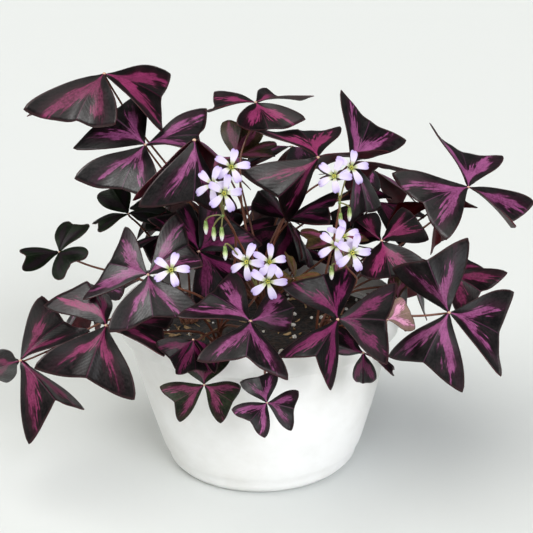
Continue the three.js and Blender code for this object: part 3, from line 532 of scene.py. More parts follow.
# Which leaves are of another colouring than the common purple. The painted deep shade and part shade
# kinds are not colourings of their own: they are darker copies of the purple for leaves that sit in the
# shade inside the bush, so they are painted shade. A look is the darker and the paler colour of the
# margin and then of the splash, and the index of refraction that gives the mirror.
LEAF_KINDS = {
    "dark": ("far_left_dark", "left_dark", "inner_dark"),
    # painted shade: a much darker copy of the purple for leaves deep in the shade of the bush
    "painted_deep_shade": ("deep_left", "deep_right", "deep_far_left", "rim_left", "right_blue", "centre_low_left"),
    # painted shade: a darker copy of the purple for leaves in part shade
    "painted_part_shade": ("front_right", "inner_left", "centre", "rim_right"),
    "rosy": ("top_left", "crown_top", "centre_top", "right_mid", "right_behind", "low_left", "far_left"),
    "green": ("pot_left",),
    "olive": ("olive_centre", "crown_left", "right_olive"),
    "young": ("young_centre",),
    "wine": ("right_under",),
    "pale": ("young_right",),
}
BLADE_LOOKS = {
    "purple": ("#040304", "#1D1819", "#44102F", "#924C7C", 1.28),
    "rosy": ("#040203", "#1A1213", "#3E0822", "#862F5A", 1.24),
    # painted shade: the purple darkened for leaves in part shade
    "painted_part_shade": ("#040304", "#120D0E", "#330822", "#762856", 1.2),
    "green": ("#0C110A", "#2A3020", "#46142C", "#86405F", 1.18),
    # painted shade: the purple darkened further for leaves deep in the shade of the bush
    "painted_deep_shade": ("#050304", "#140E10", "#240817", "#5E1C40", 1.15),
    "dark": ("#070B06", "#182213", "#0F0B0D", "#1E151A", 1.12),
    "young": ("#3B3119", "#796A3E", "#4A2A20", "#80523F", 1.2),
    "wine": ("#240205", "#48060C", "#2C0509", "#560C1B", 1.08),
    "olive": ("#241C10", "#4C3F22", "#4F1E33", "#8E4A66", 1.2),
    "pale": ("#6E5A50", "#8D7668", "#B0648C", "#DDA0BC", 1.25),
}
HEM_COLOUR = "#40282A"

# How far the corners are rounded off into lobes, by colouring and for two leaves by name
LOBES = {"dark": 0.8, "green": 0.4, "young": 0.9, "olive": 0.6, "pale": 0.7, "painted_deep_shade": 0.4}
LEAF_LOBES = {"pot_front": 0.4, "rim_right": 0.5}
PLAIN_LOBE = 0.1

# How the noises in the skin stretch out along the leaflet, across it and from leaflet to leaflet
SPLASH_SLANT = -0.4
STREAK_STRETCH = (4.5, 15, 37)
STROKE_STRETCH = (12, 48, 37)

# How much of one pattern goes into another: the share it is taken times, and what is added to it
BOTH_HALVES = {1: 2.0, 2: -1.0}
RAGGED_EDGE = {1: 0.95, 2: -0.475}
PATCHY_EDGE = {1: 0.5, 2: -0.25}
SIDE_SHARE = 0.3
FORK_SLOPE = 0.75
STROKE_SHARE = 0.8
BLOTCH_SHARE = 0.6
SEED_SHARE = 0.25
VEIN_BEND = 0.16
VEIN_SLANT = -0.55
VEIN_COUNT = 75
PUCKER_SHARE = 2.5

# The skin's ranges: from a low and a high value (1 and 2) to a low and a high result (3 and 4)
SPLASH_MOUTH = {1: 0.04, 2: 0.46, 3: 0.26, 4: 1.0}
SPLASH_SIDE = {1: -0.03, 2: 0.07}
SPLASH_END = {1: -0.03, 2: 0.08}
SPLASH_HALO = {1: -0.18, 2: 0.02, 3: 0.0, 4: 0.36}
SPLASH_GAPS = {1: 0.52, 2: 0.7, 3: 1.0, 4: 0.7}
SPLASH_CLOUDS = {1: 0.62, 2: 1.12}
MARGIN_FRECKLES = {1: 1.15, 2: 1.7}
RIB_LINE = {1: 0.0, 2: 0.018, 3: 0.25, 4: 0.0}
HEM_LINE = {1: 0.965, 2: 0.985, 3: 0.0, 4: 0.6}
SATIN = {1: 0.8, 2: 1.25, 3: 0.34, 4: 0.52}


def rear_leaves():
    """The leaves behind, in tiers round the back of the bush, each a tilted umbrella."""
    leaves = {}
    for tier, (count, first, sweep, reach, height, outward, rib) in REAR_TIERS.items():
        for i in range(count):
            number = len(leaves)
            swing = (GOLDEN_ANGLE * number) % REAR_SCATTER - REAR_SCATTER / 2
            toward = first + sweep * i / (count - 1) + swing
            stagger = REAR_STAGGER if i % 2 == 0 else -REAR_STAGGER
            leaflets = []
            for k in range(3):
                offset = (GOLDEN_ANGLE * number + 120 * k) % 360
                lean, roll = polar(outward + swing, math.radians(offset))
                leaflets.append((toward + offset, -REAR_DROOP - lean * REAR_TILT_SHARE, roll, REAR_FOLD))
            hub = (*polar(reach - stagger, math.radians(toward)), height + stagger)
            leaves[f"{tier}_{i + 1}"] = (hub, rib - abs(swing) / 2, leaflets)
    return leaves


def facing(around, rise):
    """The direction that lies so far round and so far up, in degrees."""
    around, rise = math.radians(around), math.radians(rise)
    return Vector((*polar(math.cos(rise), around), math.sin(rise)))


def leaflet_axes(leaflet):
    """A leaflet's own directions: along its rib, across the blade, and up from the blade."""
    around, rise, roll, _ = leaflet
    rib = facing(around, rise)
    side = Quaternion(rib, math.radians(roll)) @ facing(around + 90, 0)
    return rib, side, rib.cross(side)


def levelled(across, crease):
    """How far a point lies from the rib, with the fold there rounded to a crease."""
    return math.hypot(across, crease) - crease


def bent(axes, rib, fold, along, across, crease=0.0):
    """A point of the flat leaflet on the bowed and folded one, from the hub, in millimetres."""
    share = along / rib
    angle = math.radians(fold) * min(1, share / FOLD_START_SHARE)
    bow = 4 * RIB_BOW * rib * share * (1 - share)
    fall = levelled(across, crease) * math.sin(angle)
    return axes[0] * along + axes[1] * (across * math.cos(angle)) + axes[2] * (bow - fall)


def ridge_fall(rib, fold, share, across):
    """How far a flat leaflet falls away beside its rib before it levels out, in millimetres."""
    slope = RIDGE_SHARE * math.tan(math.radians(max(0, RIDGE_FOLD - fold)))
    edge = max(flat_leaflet(rib, share, 1)[1], 1)
    out = min(1, levelled(across, CREASE_SHARE * rib) / edge)
    return min(slope, RIDGE_MOST) * edge * out * (1 - out) ** RIDGE_FADE


def solid_corners(rib, leaflets):
    """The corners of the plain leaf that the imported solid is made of, from the hub, in metres."""
    corners = []
    for leaflet in leaflets:
        axes = leaflet_axes(leaflet)
        outline = [(share * rib, angle) for share, angle in SOLID_EDGE] + [HUB_EDGE]
        spots = [(rib / 2, 0), (rib, 0)]
        for radius, angle in outline:
            along, across = polar(radius, math.radians(angle))
            spots += [(along, across), (along, -across)]
        corners += [bent(axes, rib, leaflet[3], *spot) * MM for spot in spots]
    return corners


def tree_of(points):
    """A search tree of points."""
    tree = KDTree(len(points))
    for i, point in enumerate(points):
        tree.insert(point, i)
    tree.balance()
    return tree


def found_hub(node, corners):
    """Where a node's hub is: the place from which its listed corners meet the corners it has."""
    tree = tree_of([vert.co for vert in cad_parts[node].data.vertices])
    low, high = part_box(node)
    middle = [(min(c[i] for c in corners) + max(c[i] for c in corners)) / 2 for i in range(3)]
    hub = (low + high) / 2 - Vector(middle)
    for _ in range(SETTLE_STEPS):
        offsets = [tree.find(corner + hub)[0] - (corner + hub) for corner in corners]
        hub = hub + sum(offsets, Vector()) / len(offsets)
    return hub


def past(value, start):
    """How far a value has gone from a start to one, as a share that rises slowly at first."""
    return max(0, (value - start) / (1 - start)) ** 2


def flat_leaflet(rib, share, turn, lobe=0.0):
    """Along and across for a share of the way out and a turn from -1 to 1 across, with round corners.

    A lobe of one rounds the corners off into the heart shape of a young leaf."""
    side = SIDE_ANGLE + SIDE_LEAN * share + SIDE_BULGE * share * (1 - share)
    side -= CORNER_TURN * past(share, CORNER_START) + lobe * LOBE_TURN * past(share, LOBE_RUN)
    end = 1 + END_SLOPE * abs(turn) + END_CURVE * turn * turn
    end -= CORNER_PULL * past(abs(turn), CORNER_START) + lobe * LOBE_PULL * past(abs(turn), LOBE_START)
    radius = rib * end * (HUB_SHARE + (1 - HUB_SHARE) * share)
    return polar(radius, math.radians(side * turn))


def eased(turn):
    """A column's place across the blade, closer together at the rib and at the margins."""
    size = abs(turn)
    return math.copysign((size + (1 - math.cos(math.pi * size)) / 2) / 2, turn)


def wave(kind, run, seed, swell):
    """A gentle wave along a run of the blade that grows with the square of a swell."""
    size, turns, shift = kind
    return size * math.sin(2 * math.pi * (turns * run + shift * seed)) * swell * swell


def sheet_grid(shape, layer, rows, columns, across):
    """A flat grid with its own map, whose columns are spaced by a function; gives its corners."""
    fresh = bmesh.ops.create_grid(shape, x_segments=rows, y_segments=columns, size=1)["verts"]
    for vert in fresh:
        vert.co = ((vert.co.x + 1) / 2, across(vert.co.y), 0)
        for loop in vert.link_loops:
            loop[layer].uv = (vert.co.x, (vert.co.y + 1) / 2)
    return fresh


def blade_mesh(name, rib, leaflets, hub, marks, lobe):
    """Three folded leaflets as one mesh, each with its own marks, in place."""
    blade = bmesh.new()
    uv = blade.loops.layers.uv.new("blade")
    mark = blade.verts.layers.float_vector.new("mark")
    for leaflet, own in zip(leaflets, marks):
        axes, fold, seed = leaflet_axes(leaflet), leaflet[3], own[0]
        for vert in sheet_grid(blade, uv, LEAFLET_ROWS, LEAFLET_COLUMNS, eased):
            share, turn, _ = vert.co
            along, across = flat_leaflet(rib, share, turn, lobe)
            spot = bent(axes, rib, fold, along, across, CREASE_SHARE * rib)
            lift = rib * (wave(RIB_WAVE, share, seed, turn) + wave(MARGIN_WAVE, turn, seed, share))
            lift -= ridge_fall(rib, fold, share, across)
            vert.co = hub + (spot + axes[2] * lift) * MM
            vert[mark] = own
    mesh = as_mesh(name, blade)
    smooth(mesh)
    return mesh


def blade_fields(tree):
    """What the skin's patterns are made from: places on the leaflet, its marks and noises."""
    f = SimpleNamespace()
    flat = add(tree, "SeparateXYZ", {"Vector": add(tree, "UVMap", uv_map="blade")})
    own = add(tree, "Attribute", attribute_name="mark").outputs["Vector"]
    mark = add(tree, "SeparateXYZ", {"Vector": own})
    f.out, turn = flat.outputs["X"], flat.outputs["Y"]
    f.seed, f.width, f.reach = (mark.outputs[axis] for axis in "XYZ")
    turned_out = add(tree, "Math", {0: turn, **BOTH_HALVES}, operation="MULTIPLY_ADD")
    f.across = add(tree, "Math", {0: turned_out}, operation="ABSOLUTE")
    half = add(tree, "Math", {0: turned_out}, operation="SIGN")
    slanted = add(tree, "Math", {0: f.out, 1: SPLASH_SLANT, 2: f.across}, operation="MULTIPLY_ADD")
    way = add(tree, "CombineXYZ", {"X": f.out, "Y": slanted, "Z": f.seed})
    sides = add(tree, "CombineXYZ", {"Y": half})
    wide = add(tree, "VectorMath", {0: way, 1: STREAK_STRETCH, 2: sides}, operation="MULTIPLY_ADD")
    fine = add(tree, "VectorMath", {0: way, 1: STROKE_STRETCH}, operation="MULTIPLY")
    f.streaks = add(tree, "TexNoise", {"Vector": wide, "Scale": 1.0, "Detail": 4.0})
    f.strokes = add(tree, "TexNoise", {"Vector": fine, "Scale": 1.0, "Detail": 2.0})
    f.patches, _ = clouds(tree, 11, 3.0)
    f.mottle, _ = clouds(tree, 1.5, 3.0)
    f.blotch = add(tree, "Math", {0: f.patches, 1: f.mottle}, operation="ADD")
    return f


def splash_shares(tree, f):
    """How much of the splash is at a place, and how much of the halo round it.

    The splash opens from the hub, with two clean sides and ragged ends that fork."""
    ragged = add(tree, "Math", {0: f.streaks, **RAGGED_EDGE}, operation="MULTIPLY_ADD")
    uneven = add(tree, "Math", {0: f.patches, **PATCHY_EDGE}, operation="MULTIPLY_ADD")
    rough = add(tree, "Math", {0: ragged, 1: uneven}, operation="ADD")
    mouth = add(tree, "MapRange", {0: f.out, **SPLASH_MOUTH})
    opened = add(tree, "Math", {0: f.width, 1: mouth}, operation="MULTIPLY")
    inside = add(tree, "Math", {0: opened, 1: f.across}, operation="SUBTRACT")
    side = add(tree, "Math", {0: rough, 1: SIDE_SHARE, 2: inside}, operation="MULTIPLY_ADD")
    fork = add(tree, "Math", {0: f.across, 1: FORK_SLOPE, 2: f.reach}, operation="MULTIPLY_ADD")
    short = add(tree, "Math", {0: fork, 1: f.out}, operation="SUBTRACT")
    end = add(tree, "Math", {0: short, 1: rough}, operation="ADD")
    in_side = add(tree, "MapRange", {0: side, **SPLASH_SIDE}, interpolation_type="SMOOTHSTEP")
    in_end = add(tree, "MapRange", {0: end, **SPLASH_END}, interpolation_type="SMOOTHSTEP")
    nearest = add(tree, "Math", {0: side, 1: end}, operation="MINIMUM")
    gaps = add(tree, "MapRange", {0: f.strokes, **SPLASH_GAPS})
    whole = add(tree, "Math", {0: in_side, 1: in_end}, operation="MULTIPLY")
    splash = add(tree, "Math", {0: whole, 1: gaps}, operation="MULTIPLY")
    return splash, add(tree, "MapRange", {0: nearest, **SPLASH_HALO})


def skin_colour(tree, f, colours):
    """The skin's colour: freckled margin, halo, cloudy splash, pale rib line and brown hem."""
    margin_dark, margin_pale, splash_dark, splash_pale = (linear(colour) for colour in colours)
    splash, halo = splash_shares(tree, f)
    veined = add(tree, "Math", {0: f.strokes, 1: STROKE_SHARE, 2: f.blotch}, operation="MULTIPLY_ADD")
    freckle = add(tree, "MapRange", {0: veined, **MARGIN_FRECKLES})
    cloudy = add(tree, "Mix", {0: BLOTCH_SHARE, 2: f.streaks, 3: f.blotch}, data_type="FLOAT")
    flushes = add(tree, "Math", {0: f.seed, 1: SEED_SHARE, 2: cloudy}, operation="MULTIPLY_ADD")
    bright = add(tree, "MapRange", {0: flushes, **SPLASH_CLOUDS})
    off_rib = add(tree, "Math", {0: f.across, 1: f.out}, operation="MULTIPLY")
    rib_line = add(tree, "MapRange", {0: off_rib, **RIB_LINE})
    outermost = add(tree, "Math", {0: f.out, 1: f.across}, operation="MAXIMUM")
    hem = add(tree, "MapRange", {0: outermost, **HEM_LINE})
    pink = add(tree, "Mix", {0: bright, 6: splash_dark, 7: splash_pale}, data_type="RGBA")
    skin = add(tree, "Mix", {0: freckle, 6: margin_dark, 7: margin_pale}, data_type="RGBA")
    coats = [(halo, splash_dark), (splash, pink), (rib_line, splash_pale), (hem, linear(HEM_COLOUR))]
    for share, over in coats:
        skin = add(tree, "Mix", {0: share, 6: skin, 7: over}, data_type="RGBA")
    return skin


def skin_relief(tree, f):
    """Fine veins that run out and forwards from the rib, puckered a little."""
    bend = add(tree, "Math", {0: f.patches, 1: VEIN_BEND, 2: f.out}, operation="MULTIPLY_ADD")
    vein_way = add(tree, "Math", {0: f.across, 1: VEIN_SLANT, 2: bend}, operation="MULTIPLY_ADD")
    vein_phase = add(tree, "Math", {0: vein_way, 1: VEIN_COUNT}, operation="MULTIPLY")
    veins = add(tree, "Math", {0: vein_phase}, operation="SINE")
    pucker = add(tree, "Math", {0: f.mottle, 1: PUCKER_SHARE, 2: veins}, operation="MULTIPLY_ADD")
    return add(tree, "Bump", {"Height": pucker, "Strength": 0.07, "Distance": 0.25 * MM})


def cuticle_material(kind, look):
    """Satin leaf skin: near black at the margin with a streaked splash that forks from the hub."""
    *colours, mirror = look
    material, tree = new_material(f"satin leaf cuticle {kind}")
    f = blade_fields(tree)
    satin = add(tree, "MapRange", {0: f.blotch, **SATIN})
    colour, relief = skin_colour(tree, f, colours), skin_relief(tree, f)
    coat = {"Base Color": colour, "Roughness": satin, "Normal": relief, "IOR": mirror}
    add(tree, "OutputMaterial", {"Surface": add(tree, "BsdfPrincipled", coat)})
    return material


def underside_material():
    """Leaf underside: wine red and duller, with the light coming a little through it."""
    material, tree = new_material("leaf underside wine")
    _, tint = clouds(tree, 9, 4.0, (0.35, "#2A040A"), (0.68, "#560C1B"))
    skin = add(tree, "BsdfPrincipled", {"Base Color": tint, "Roughness": 0.5, "IOR": 1.4})
    through = add(tree, "BsdfTranslucent", {"Color": linear("#8A0F24")})
    both = add(tree, "MixShader", {0: 0.12, 1: skin, 2: through})
    add(tree, "OutputMaterial", {"Surface": both})
    return material


def kind_of(name):
    """Which colouring a leaf has, or which darkened copy of the purple paints the shading it sits in."""
    for kind, names in LEAF_KINDS.items():
        if name in names:
            return kind
    return "purple"


def thickened(sheet, thickness):
    """The modifier that gives a sheet its thickness, half to each side."""
    shell = sheet.modifiers.new("thickness", "SOLIDIFY")
    shell.thickness = thickness * MM
    shell.offset = 0
    return shell


cuticles = {kind: cuticle_material(kind, look) for kind, look in BLADE_LOOKS.items()}
underside = underside_material()
marking = random.Random(MARK_SEED)
leaves = {**FRONT_LEAVES, **rear_leaves()}
hubs = {}
for name, (hub, rib, leaflets) in leaves.items():
    node = f"leaf_{name}"
    hubs[name] = found_hub(node, solid_corners(rib, leaflets))
    marks = [[marking.uniform(*limits) for limits in MARK_LIMITS] for _ in leaflets]
    kind = kind_of(name)
    lobe = LEAF_LOBES.get(name, LOBES.get(kind, PLAIN_LOBE))
    mesh = blade_mesh(f"blade_{name}", rib, leaflets, hubs[name], marks, lobe)
    blade = place(f"blade_{name}", mesh)
    blade.data.materials.append(cuticles[kind])
    blade.data.materials.append(underside)
    shell = thickened(blade, BLADE_THICKNESS)
    shell.material_offset = 1
    shell.material_offset_rim = 1
    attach(blade, "root")
    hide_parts(node)

# The stalks are juicy round stems, thinner than a match, that rise in clumps from scaly rhizome tips in
# the soil. Each carries one leaf on a small tan knob, or a head of flowers on a greener stem.
CROWN_SPOTS = {
    "left": (-52, 5),
    "front_left": (-28, -48),
    "middle": (4, -4),
    "front_right": (40, -42),
    "right": (54, 14),
    "rear": (-6, 52),
}
CROWN_TOP = 105
CROWN_SINK = 3
STALK_FOOT_RADIUS = 0.95
STALK_TIP_RADIUS = 0.68
STALK_CORNERS = 5
STALK_ROUNDNESS = 2
STALK_END_REACH = 2.8
HUB_POINT_REACH = 11
STRIDE = 1.0
STEER = 2
STALK_CORE = 0.77
CROWN_REACH = 7
NO_LENGTH = 1e-9
STEPS_MOST = 420
SMOOTHING = 7
RING_EVERY = 3
KNOB_RADIUS = 1.2
KNOB_SQUASH = 0.75
KNOB_FULL_RIB = 30
SCALE_COUNT = 16
SCALE_REACH = 6.5
SCALE_RADII = (2.3, 0.3)
SCALE_CORNERS = 8
SCALE_LENGTHS = (7, 11)
SCALE_LEAN = (6, 4)
SCALE_RISE = 3.5


def stem_material(name, low_colour, high_colour):
    """Juicy stem skin: thin and waxy over watery flesh, so light glows in it a little."""
    material, tree = new_material(name)
    _, tint = clouds(tree, 14, 3.0, (0, low_colour), (1, high_colour))
    glow = {"Subsurface Weight": 0.15, "Subsurface Radius": (1.2, 0.5, 0.3), "Subsurface Scale": MM}
    skin = add(tree, "BsdfPrincipled", {"Base Color": tint, "Roughness": 0.42, "IOR": 1.4, **glow})
    add(tree, "OutputMaterial", {"Surface": skin})
    return material


def corners_of(node):
    """A node's corners, each once."""
    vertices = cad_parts[node].data.vertices
    spots = {tuple(round(value, 6) for value in vert.co) for vert in vertices}
    return [Vector(spot) for spot in sorted(spots)]


def skin_of(node):
    """A node's surface, for looking outwards from inside it."""
    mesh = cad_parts[node].data
    faces = [face.vertices for face in mesh.polygons]
    return BVHTree.FromPolygons([vert.co for vert in mesh.vertices], faces)


def walked(skin, start, ahead, foot):
    """Points down the middle of one stalk, from its end to its crown."""
    here, spots = start, [start]
    while (here - foot).length > CROWN_REACH * MM and len(spots) < STEPS_MOST:
        guess = here + ahead * STRIDE * MM
        wall, outward, _, _ = skin.find_nearest(guess)
        pull = wall - outward * STALK_CORE * MM - guess
        guess += pull - ahead * pull.dot(ahead)
        ahead = (ahead + STEER * (guess - here).normalized()).normalized()
        here = guess
        spots.append(here)
    return spots + [foot]


def calmed(spots):
    """A walked line with its corners eased, and fewer points."""
    line = []
    for i in [*range(0, len(spots) - 1, RING_EVERY), len(spots) - 1]:
        span = min(SMOOTHING, i, len(spots) - 1 - i)
        near = spots[i - span : i + span + 1]
        line.append(sum(near, Vector()) / len(near))
    return line


def stalk_line(ends, top, neck):
    """One stalk from under its leaf or flowers down to its crown, and which crown that is."""
    crown, end = min(
        ((name, tree.find(neck)[0]) for name, (tree, _, _) in ends.items()),
        key=lambda found: (found[1] - neck).length,
    )
    _, corners, skin = ends[crown]
    ring = sorted(corners, key=lambda corner: (corner - neck).length)[:STALK_CORNERS]
    ring = [corner for corner in ring if (corner - end).length < STALK_END_REACH * MM]
    middle = sum(ring, Vector()) / len(ring)
    ahead = (ring[0] - middle).cross(ring[1] - middle)
    if ahead.length < NO_LENGTH:
        ahead = middle - top
    ahead = ahead.normalized() if ahead.dot(middle - top) > 0 else -ahead.normalized()
    foot = Vector((*CROWN_SPOTS[crown], CROWN_TOP - CROWN_SINK)) * MM
    return crown, [top, neck] + walked(skin, middle, ahead, foot)


def hub_point(node, hub, ends):
    """The tip under a leaf's hub that its stalk meets."""
    close = [corner for corner in corners_of(node) if (corner - hub).length < HUB_POINT_REACH * MM]
    trees = [tree for tree, _, _ in ends.values()]
    return min(close, key=lambda corner: min((tree.find(corner)[0] - corner).length for tree in trees))


def tube(curve, line, slot_index, foot_radius, tip_radius):
    """A round stem along a line, thinner towards its tip."""
    spline = curve.splines.new("POLY")
    spline.points.add(len(line) - 1)
    spline.material_index = slot_index
    for i, spot in enumerate(line):
        share = i / (len(line) - 1)
        spline.points[i].co = (*spot, 1)
        spline.points[i].radius = (tip_radius + (foot_radius - tip_radius) * share) * MM


def stems_mesh(name, runs):
    """Stems along several lines as one mesh: (line, material index, foot radius, tip radius) each."""
    curve = bpy.data.curves.new(name, "CURVE")
    curve.dimensions = "3D"
    curve.bevel_depth = 1
    curve.bevel_resolution = STALK_ROUNDNESS
    curve.use_fill_caps = True
    for run in runs:
        tube(curve, *run)
    rod = place(name, curve)
    bpy.context.view_layer.update()
    mesh = bpy.data.meshes.new_from_object(rod)
    bpy.data.objects.remove(rod)
    return mesh


def ball(shape, radius, spot, fineness=2, height=1):
    """Adds a ball, or a squashed one."""
    made = bmesh.ops.create_icosphere(shape, subdivisions=fineness, radius=radius * MM)
    bmesh.ops.scale(shape, vec=(1, 1, height), verts=made["verts"])
    bmesh.ops.translate(shape, vec=spot, verts=made["verts"])


def rhizome_scales(shape, spot, draw):
    """Pointed fleshy scales round a rhizome tip, leaning outwards."""
    for k in range(SCALE_COUNT):
        around = GOLDEN_ANGLE * k
        reach = SCALE_REACH * math.sqrt((k + 1) / SCALE_COUNT)
        scale = cone(shape, SCALE_RADII, draw.uniform(*SCALE_LENGTHS), SCALE_CORNERS)
        lean = math.radians(SCALE_LEAN[0] + SCALE_LEAN[1] * reach)
        foot = facing(around, 0) * reach + Vector((*spot, SOIL_TOP + SCALE_RISE))
        there = Matrix.Translation(foot * MM) @ Matrix.Rotation(lean, 4, facing(around + 90, 0))
        bmesh.ops.transform(shape, matrix=there, verts=scale)


def gathered(name, parts, looks):
    """Several meshes as one piece. A part with a number takes that look; one with None keeps its own."""
    whole = bmesh.new()
    for mesh, index in parts:
        count = len(whole.faces)
        whole.from_mesh(mesh)
        whole.faces.ensure_lookup_table()
        for face in whole.faces[count:]:
            face.smooth = True
            if index is not None:
                face.material_index = index
    mesh = as_mesh(name, whole)
    for look in looks:
        mesh.materials.append(look)
    return place(name, mesh)


crown_ends = {}
for name in CROWN_SPOTS:
    crown_corners = corners_of(f"stalks_{name}")
    crown_ends[name] = (tree_of(crown_corners), crown_corners, skin_of(f"stalks_{name}"))
crown_runs = {name: [] for name in CROWN_SPOTS}
crown_knobs = {name: bmesh.new() for name in CROWN_SPOTS}
for name, (_, rib, _) in leaves.items():
    neck = hub_point(f"leaf_{name}", hubs[name], crown_ends)
    crown, line = stalk_line(crown_ends, hubs[name], neck)
    crown_runs[crown].append((calmed(line), 0, STALK_FOOT_RADIUS, STALK_TIP_RADIUS))
    size = KNOB_RADIUS * min(1, rib / KNOB_FULL_RIB)
    ball(crown_knobs[crown], size, hubs[name], height=KNOB_SQUASH)

# The flowers stand in heads of one to three on thin stalks from one joint, with closed buds hanging
# beside them: five lilac petals in a shallow funnel, a yellow green throat and green sepals behind.
HEADS = {
    "left": (
        (-20, -92, 211),
        [((-14, -90, 241), (-80, 35)), ((-26, -97, 232), (-115, 20)), ((-18, -104, 228), (-70, 15))],
        [(-31, -86, 202), (-26, -90, 199), (-21, -94, 200)],
    ),
    "right": (
        (52, -70, 209),
        [((48, -72, 227), (-110, 25)), ((60, -66, 231), (-75, 30))],
        [(52, -77, 200), (58, -72, 202)],
    ),
    "low_right": (
        (53, -98, 179),
        [((47, -104, 192), (-100, 25)), ((57, -111, 189), (-80, 10)), ((53, -96, 196), (-60, 50))],
        [(45, -100, 173)],
    ),
    "middle": (
        (0, -106, 165),
        [((-7, -112, 185), (-115, 20)), ((8, -100, 181), (-60, 35)), ((6, -124, 176), (-90, 0))],
        [(-19, -110, 190)],
    ),
    "low_left": ((-49, -102, 168), [((-52, -108, 180), (-90, 35))], []),
}
HEAD_REST = 2.3
PETALS = 5
PETAL_LENGTH = 11.5
PETAL_LENGTH_SPREAD = (0.96, 1.04)
PETAL_FOOT = 0.6
PETAL_END_BOW = 0.06
PETAL_HALF_WIDTH = 2.45
PETAL_WIDEST = 0.8
PETAL_CLAW = 0.25
PETAL_SWELL = 1.3
PETAL_TAPER = 0.22
PETAL_NOTCH = 0.6
PETAL_NOTCH_POWER = 6
PETAL_ROWS = 12
PETAL_COLUMNS = 8
PETAL_THICKNESS = 0.25
SOLID_PETAL = [(1.4, 0.7), (8.4, 3.4), (11.5, 2.3)]
THROAT_DEPTH = 4.5
THROAT_FLARE = 4
PETAL_CUP = 1.2
PETAL_CURL = 8
PETAL_CURL_SPREAD = (0.3, 1)
PETAL_CURL_START = 0.55
PETAL_TWIST = 0.5
PETAL_CHANNEL = 0.5
FLOWER_STALK_RADIUS = 0.5
FLOWER_STALK_POINTS = 11
FLOWER_STALK_RISE = 1 / 6
FLOWER_STALK_PULL = 1 / 4
JOINT_RADIUS = 1.1
ANTHER_RADIUS = 0.5
ANTHER_SPOT = (0.9, 0, 1.4)
BUD_LENGTH = 8
BUD_STEPS = 12
BUD_TIP = [(0, -4.6), (0.55, -4.2), (1.15, -2.6), (1.5, -0.4)]
BUD_BASE = [(1.25, 1.8), (0.85, 3.1), (0.5, 3.9), (0, 4)]
SEPAL_LENGTH = 3.6
SEPAL_RADII = (0.75, 0.15)
SEPAL_CORNERS = 6
SEPAL_FLATNESS = 0.45
SEPAL_SPOT = (0, 1.0, 1.4)
SEPAL_TILT = -14
PETAL_VEINS = 60
PETAL_VEIN_LINES = {1: 0.2, 2: 1.0, 3: 0.0, 4: 0.3}
BLOOM_SEED = 3
DOWN = Vector((0, 0, -1))


def petal_material():
    """Thin lilac petal: yellow green in the throat, then nearly white, bluer at the tip, finely veined."""
    material, tree = new_material("thin lilac petal")
    flat = add(tree, "SeparateXYZ", {"Vector": add(tree, "UVMap", uv_map="petal")})
    out, turn = flat.outputs["X"], flat.outputs["Y"]
    tint = add(tree, "ValToRGB", {"Fac": out})
    ends = ((0.1, "#9FB04A"), (1.0, "#C9B4EA"))
    grade(tint, *ends, (0.22, "#D8DDB0"), (0.34, "#EFE8F6"), (0.75, "#E4D9F4"))
    wide = add(tree, "Math", {0: turn, 1: PETAL_VEINS}, operation="MULTIPLY")
    veins = add(tree, "Math", {0: wide}, operation="SINE")
    faint = add(tree, "MapRange", {0: veins, **PETAL_VEIN_LINES})
    colours = {0: faint, 6: tint, 7: linear("#B79FDD")}
    veined = add(tree, "Mix", colours, data_type="RGBA")
    skin = add(tree, "BsdfPrincipled", {"Base Color": veined, "Roughness": 0.55, "IOR": 1.4})
    through = add(tree, "BsdfTranslucent", {"Color": linear("#E3D6F7")})
    both = add(tree, "MixShader", {0: 0.25, 1: skin, 2: through})
    add(tree, "OutputMaterial", {"Surface": both})
    return material


def flower_axes(aim):
    """A flower's own directions: two across its face and one out of it."""
    out = facing(*aim)
    along = Vector((0, 0, 1)).cross(out).normalized()
    return along, out.cross(along), out


def funnel(radius):
    """How high a petal stands above the throat's rim at a radius, in millimetres."""
    inside = max(0, 1 - radius / THROAT_FLARE)
    outside = max(0, (radius - THROAT_FLARE) / PETAL_LENGTH)
    return -THROAT_DEPTH * inside * inside + PETAL_CUP * outside


def petal_spot(axes, turn, along, across, lift=0.0):
    """A point of a petal that is turned round the flower, from the throat, in millimetres."""
    x = along * math.cos(turn) - across * math.sin(turn)
    y = along * math.sin(turn) + across * math.cos(turn)
    return axes[0] * x + axes[1] * y + axes[2] * (funnel(math.hypot(x, y)) + lift)


def head_corners(joint, flowers):
    """The petal corners of the plain head that the solid is made of, from its joint, in metres."""
    corners = []
    for throat, aim in flowers:
        axes = flower_axes(aim)
        for k in range(PETALS):
            for along, across in SOLID_PETAL:
                for side in (across, -across):
                    spot = petal_spot(axes, 2 * math.pi * k / PETALS, along, side)
                    corners.append((Vector(throat) - Vector(joint) + spot) * MM)
    return corners


def petal_half_width(share):
    """Half a petal's width: narrow at its claw, widest near its blunt end."""
    swell = math.sin(math.pi / 2 * min(1, share / PETAL_WIDEST)) ** PETAL_SWELL
    taper = 1 - PETAL_TAPER * past(share, PETAL_WIDEST)
    return PETAL_HALF_WIDTH * (PETAL_CLAW + (1 - PETAL_CLAW) * swell) * taper


def petal_place(share, turn, curl, length):
    """Along, across and above the funnel: a notched end, a channel down the middle and curled tips."""
    inner = min(abs(turn), 0.5)
    notch = PETAL_NOTCH * share**PETAL_NOTCH_POWER * (1 - 4 * inner * (1 - inner))
    along = PETAL_FOOT + (length - PETAL_FOOT) * share * (1 - PETAL_END_BOW * turn**4) - notch
    lift = PETAL_TWIST * turn * share - curl * max(0, share - PETAL_CURL_START) ** 2
    lift -= PETAL_CHANNEL * share * (1 - turn * turn)
    return along, petal_half_width(share) * turn, lift


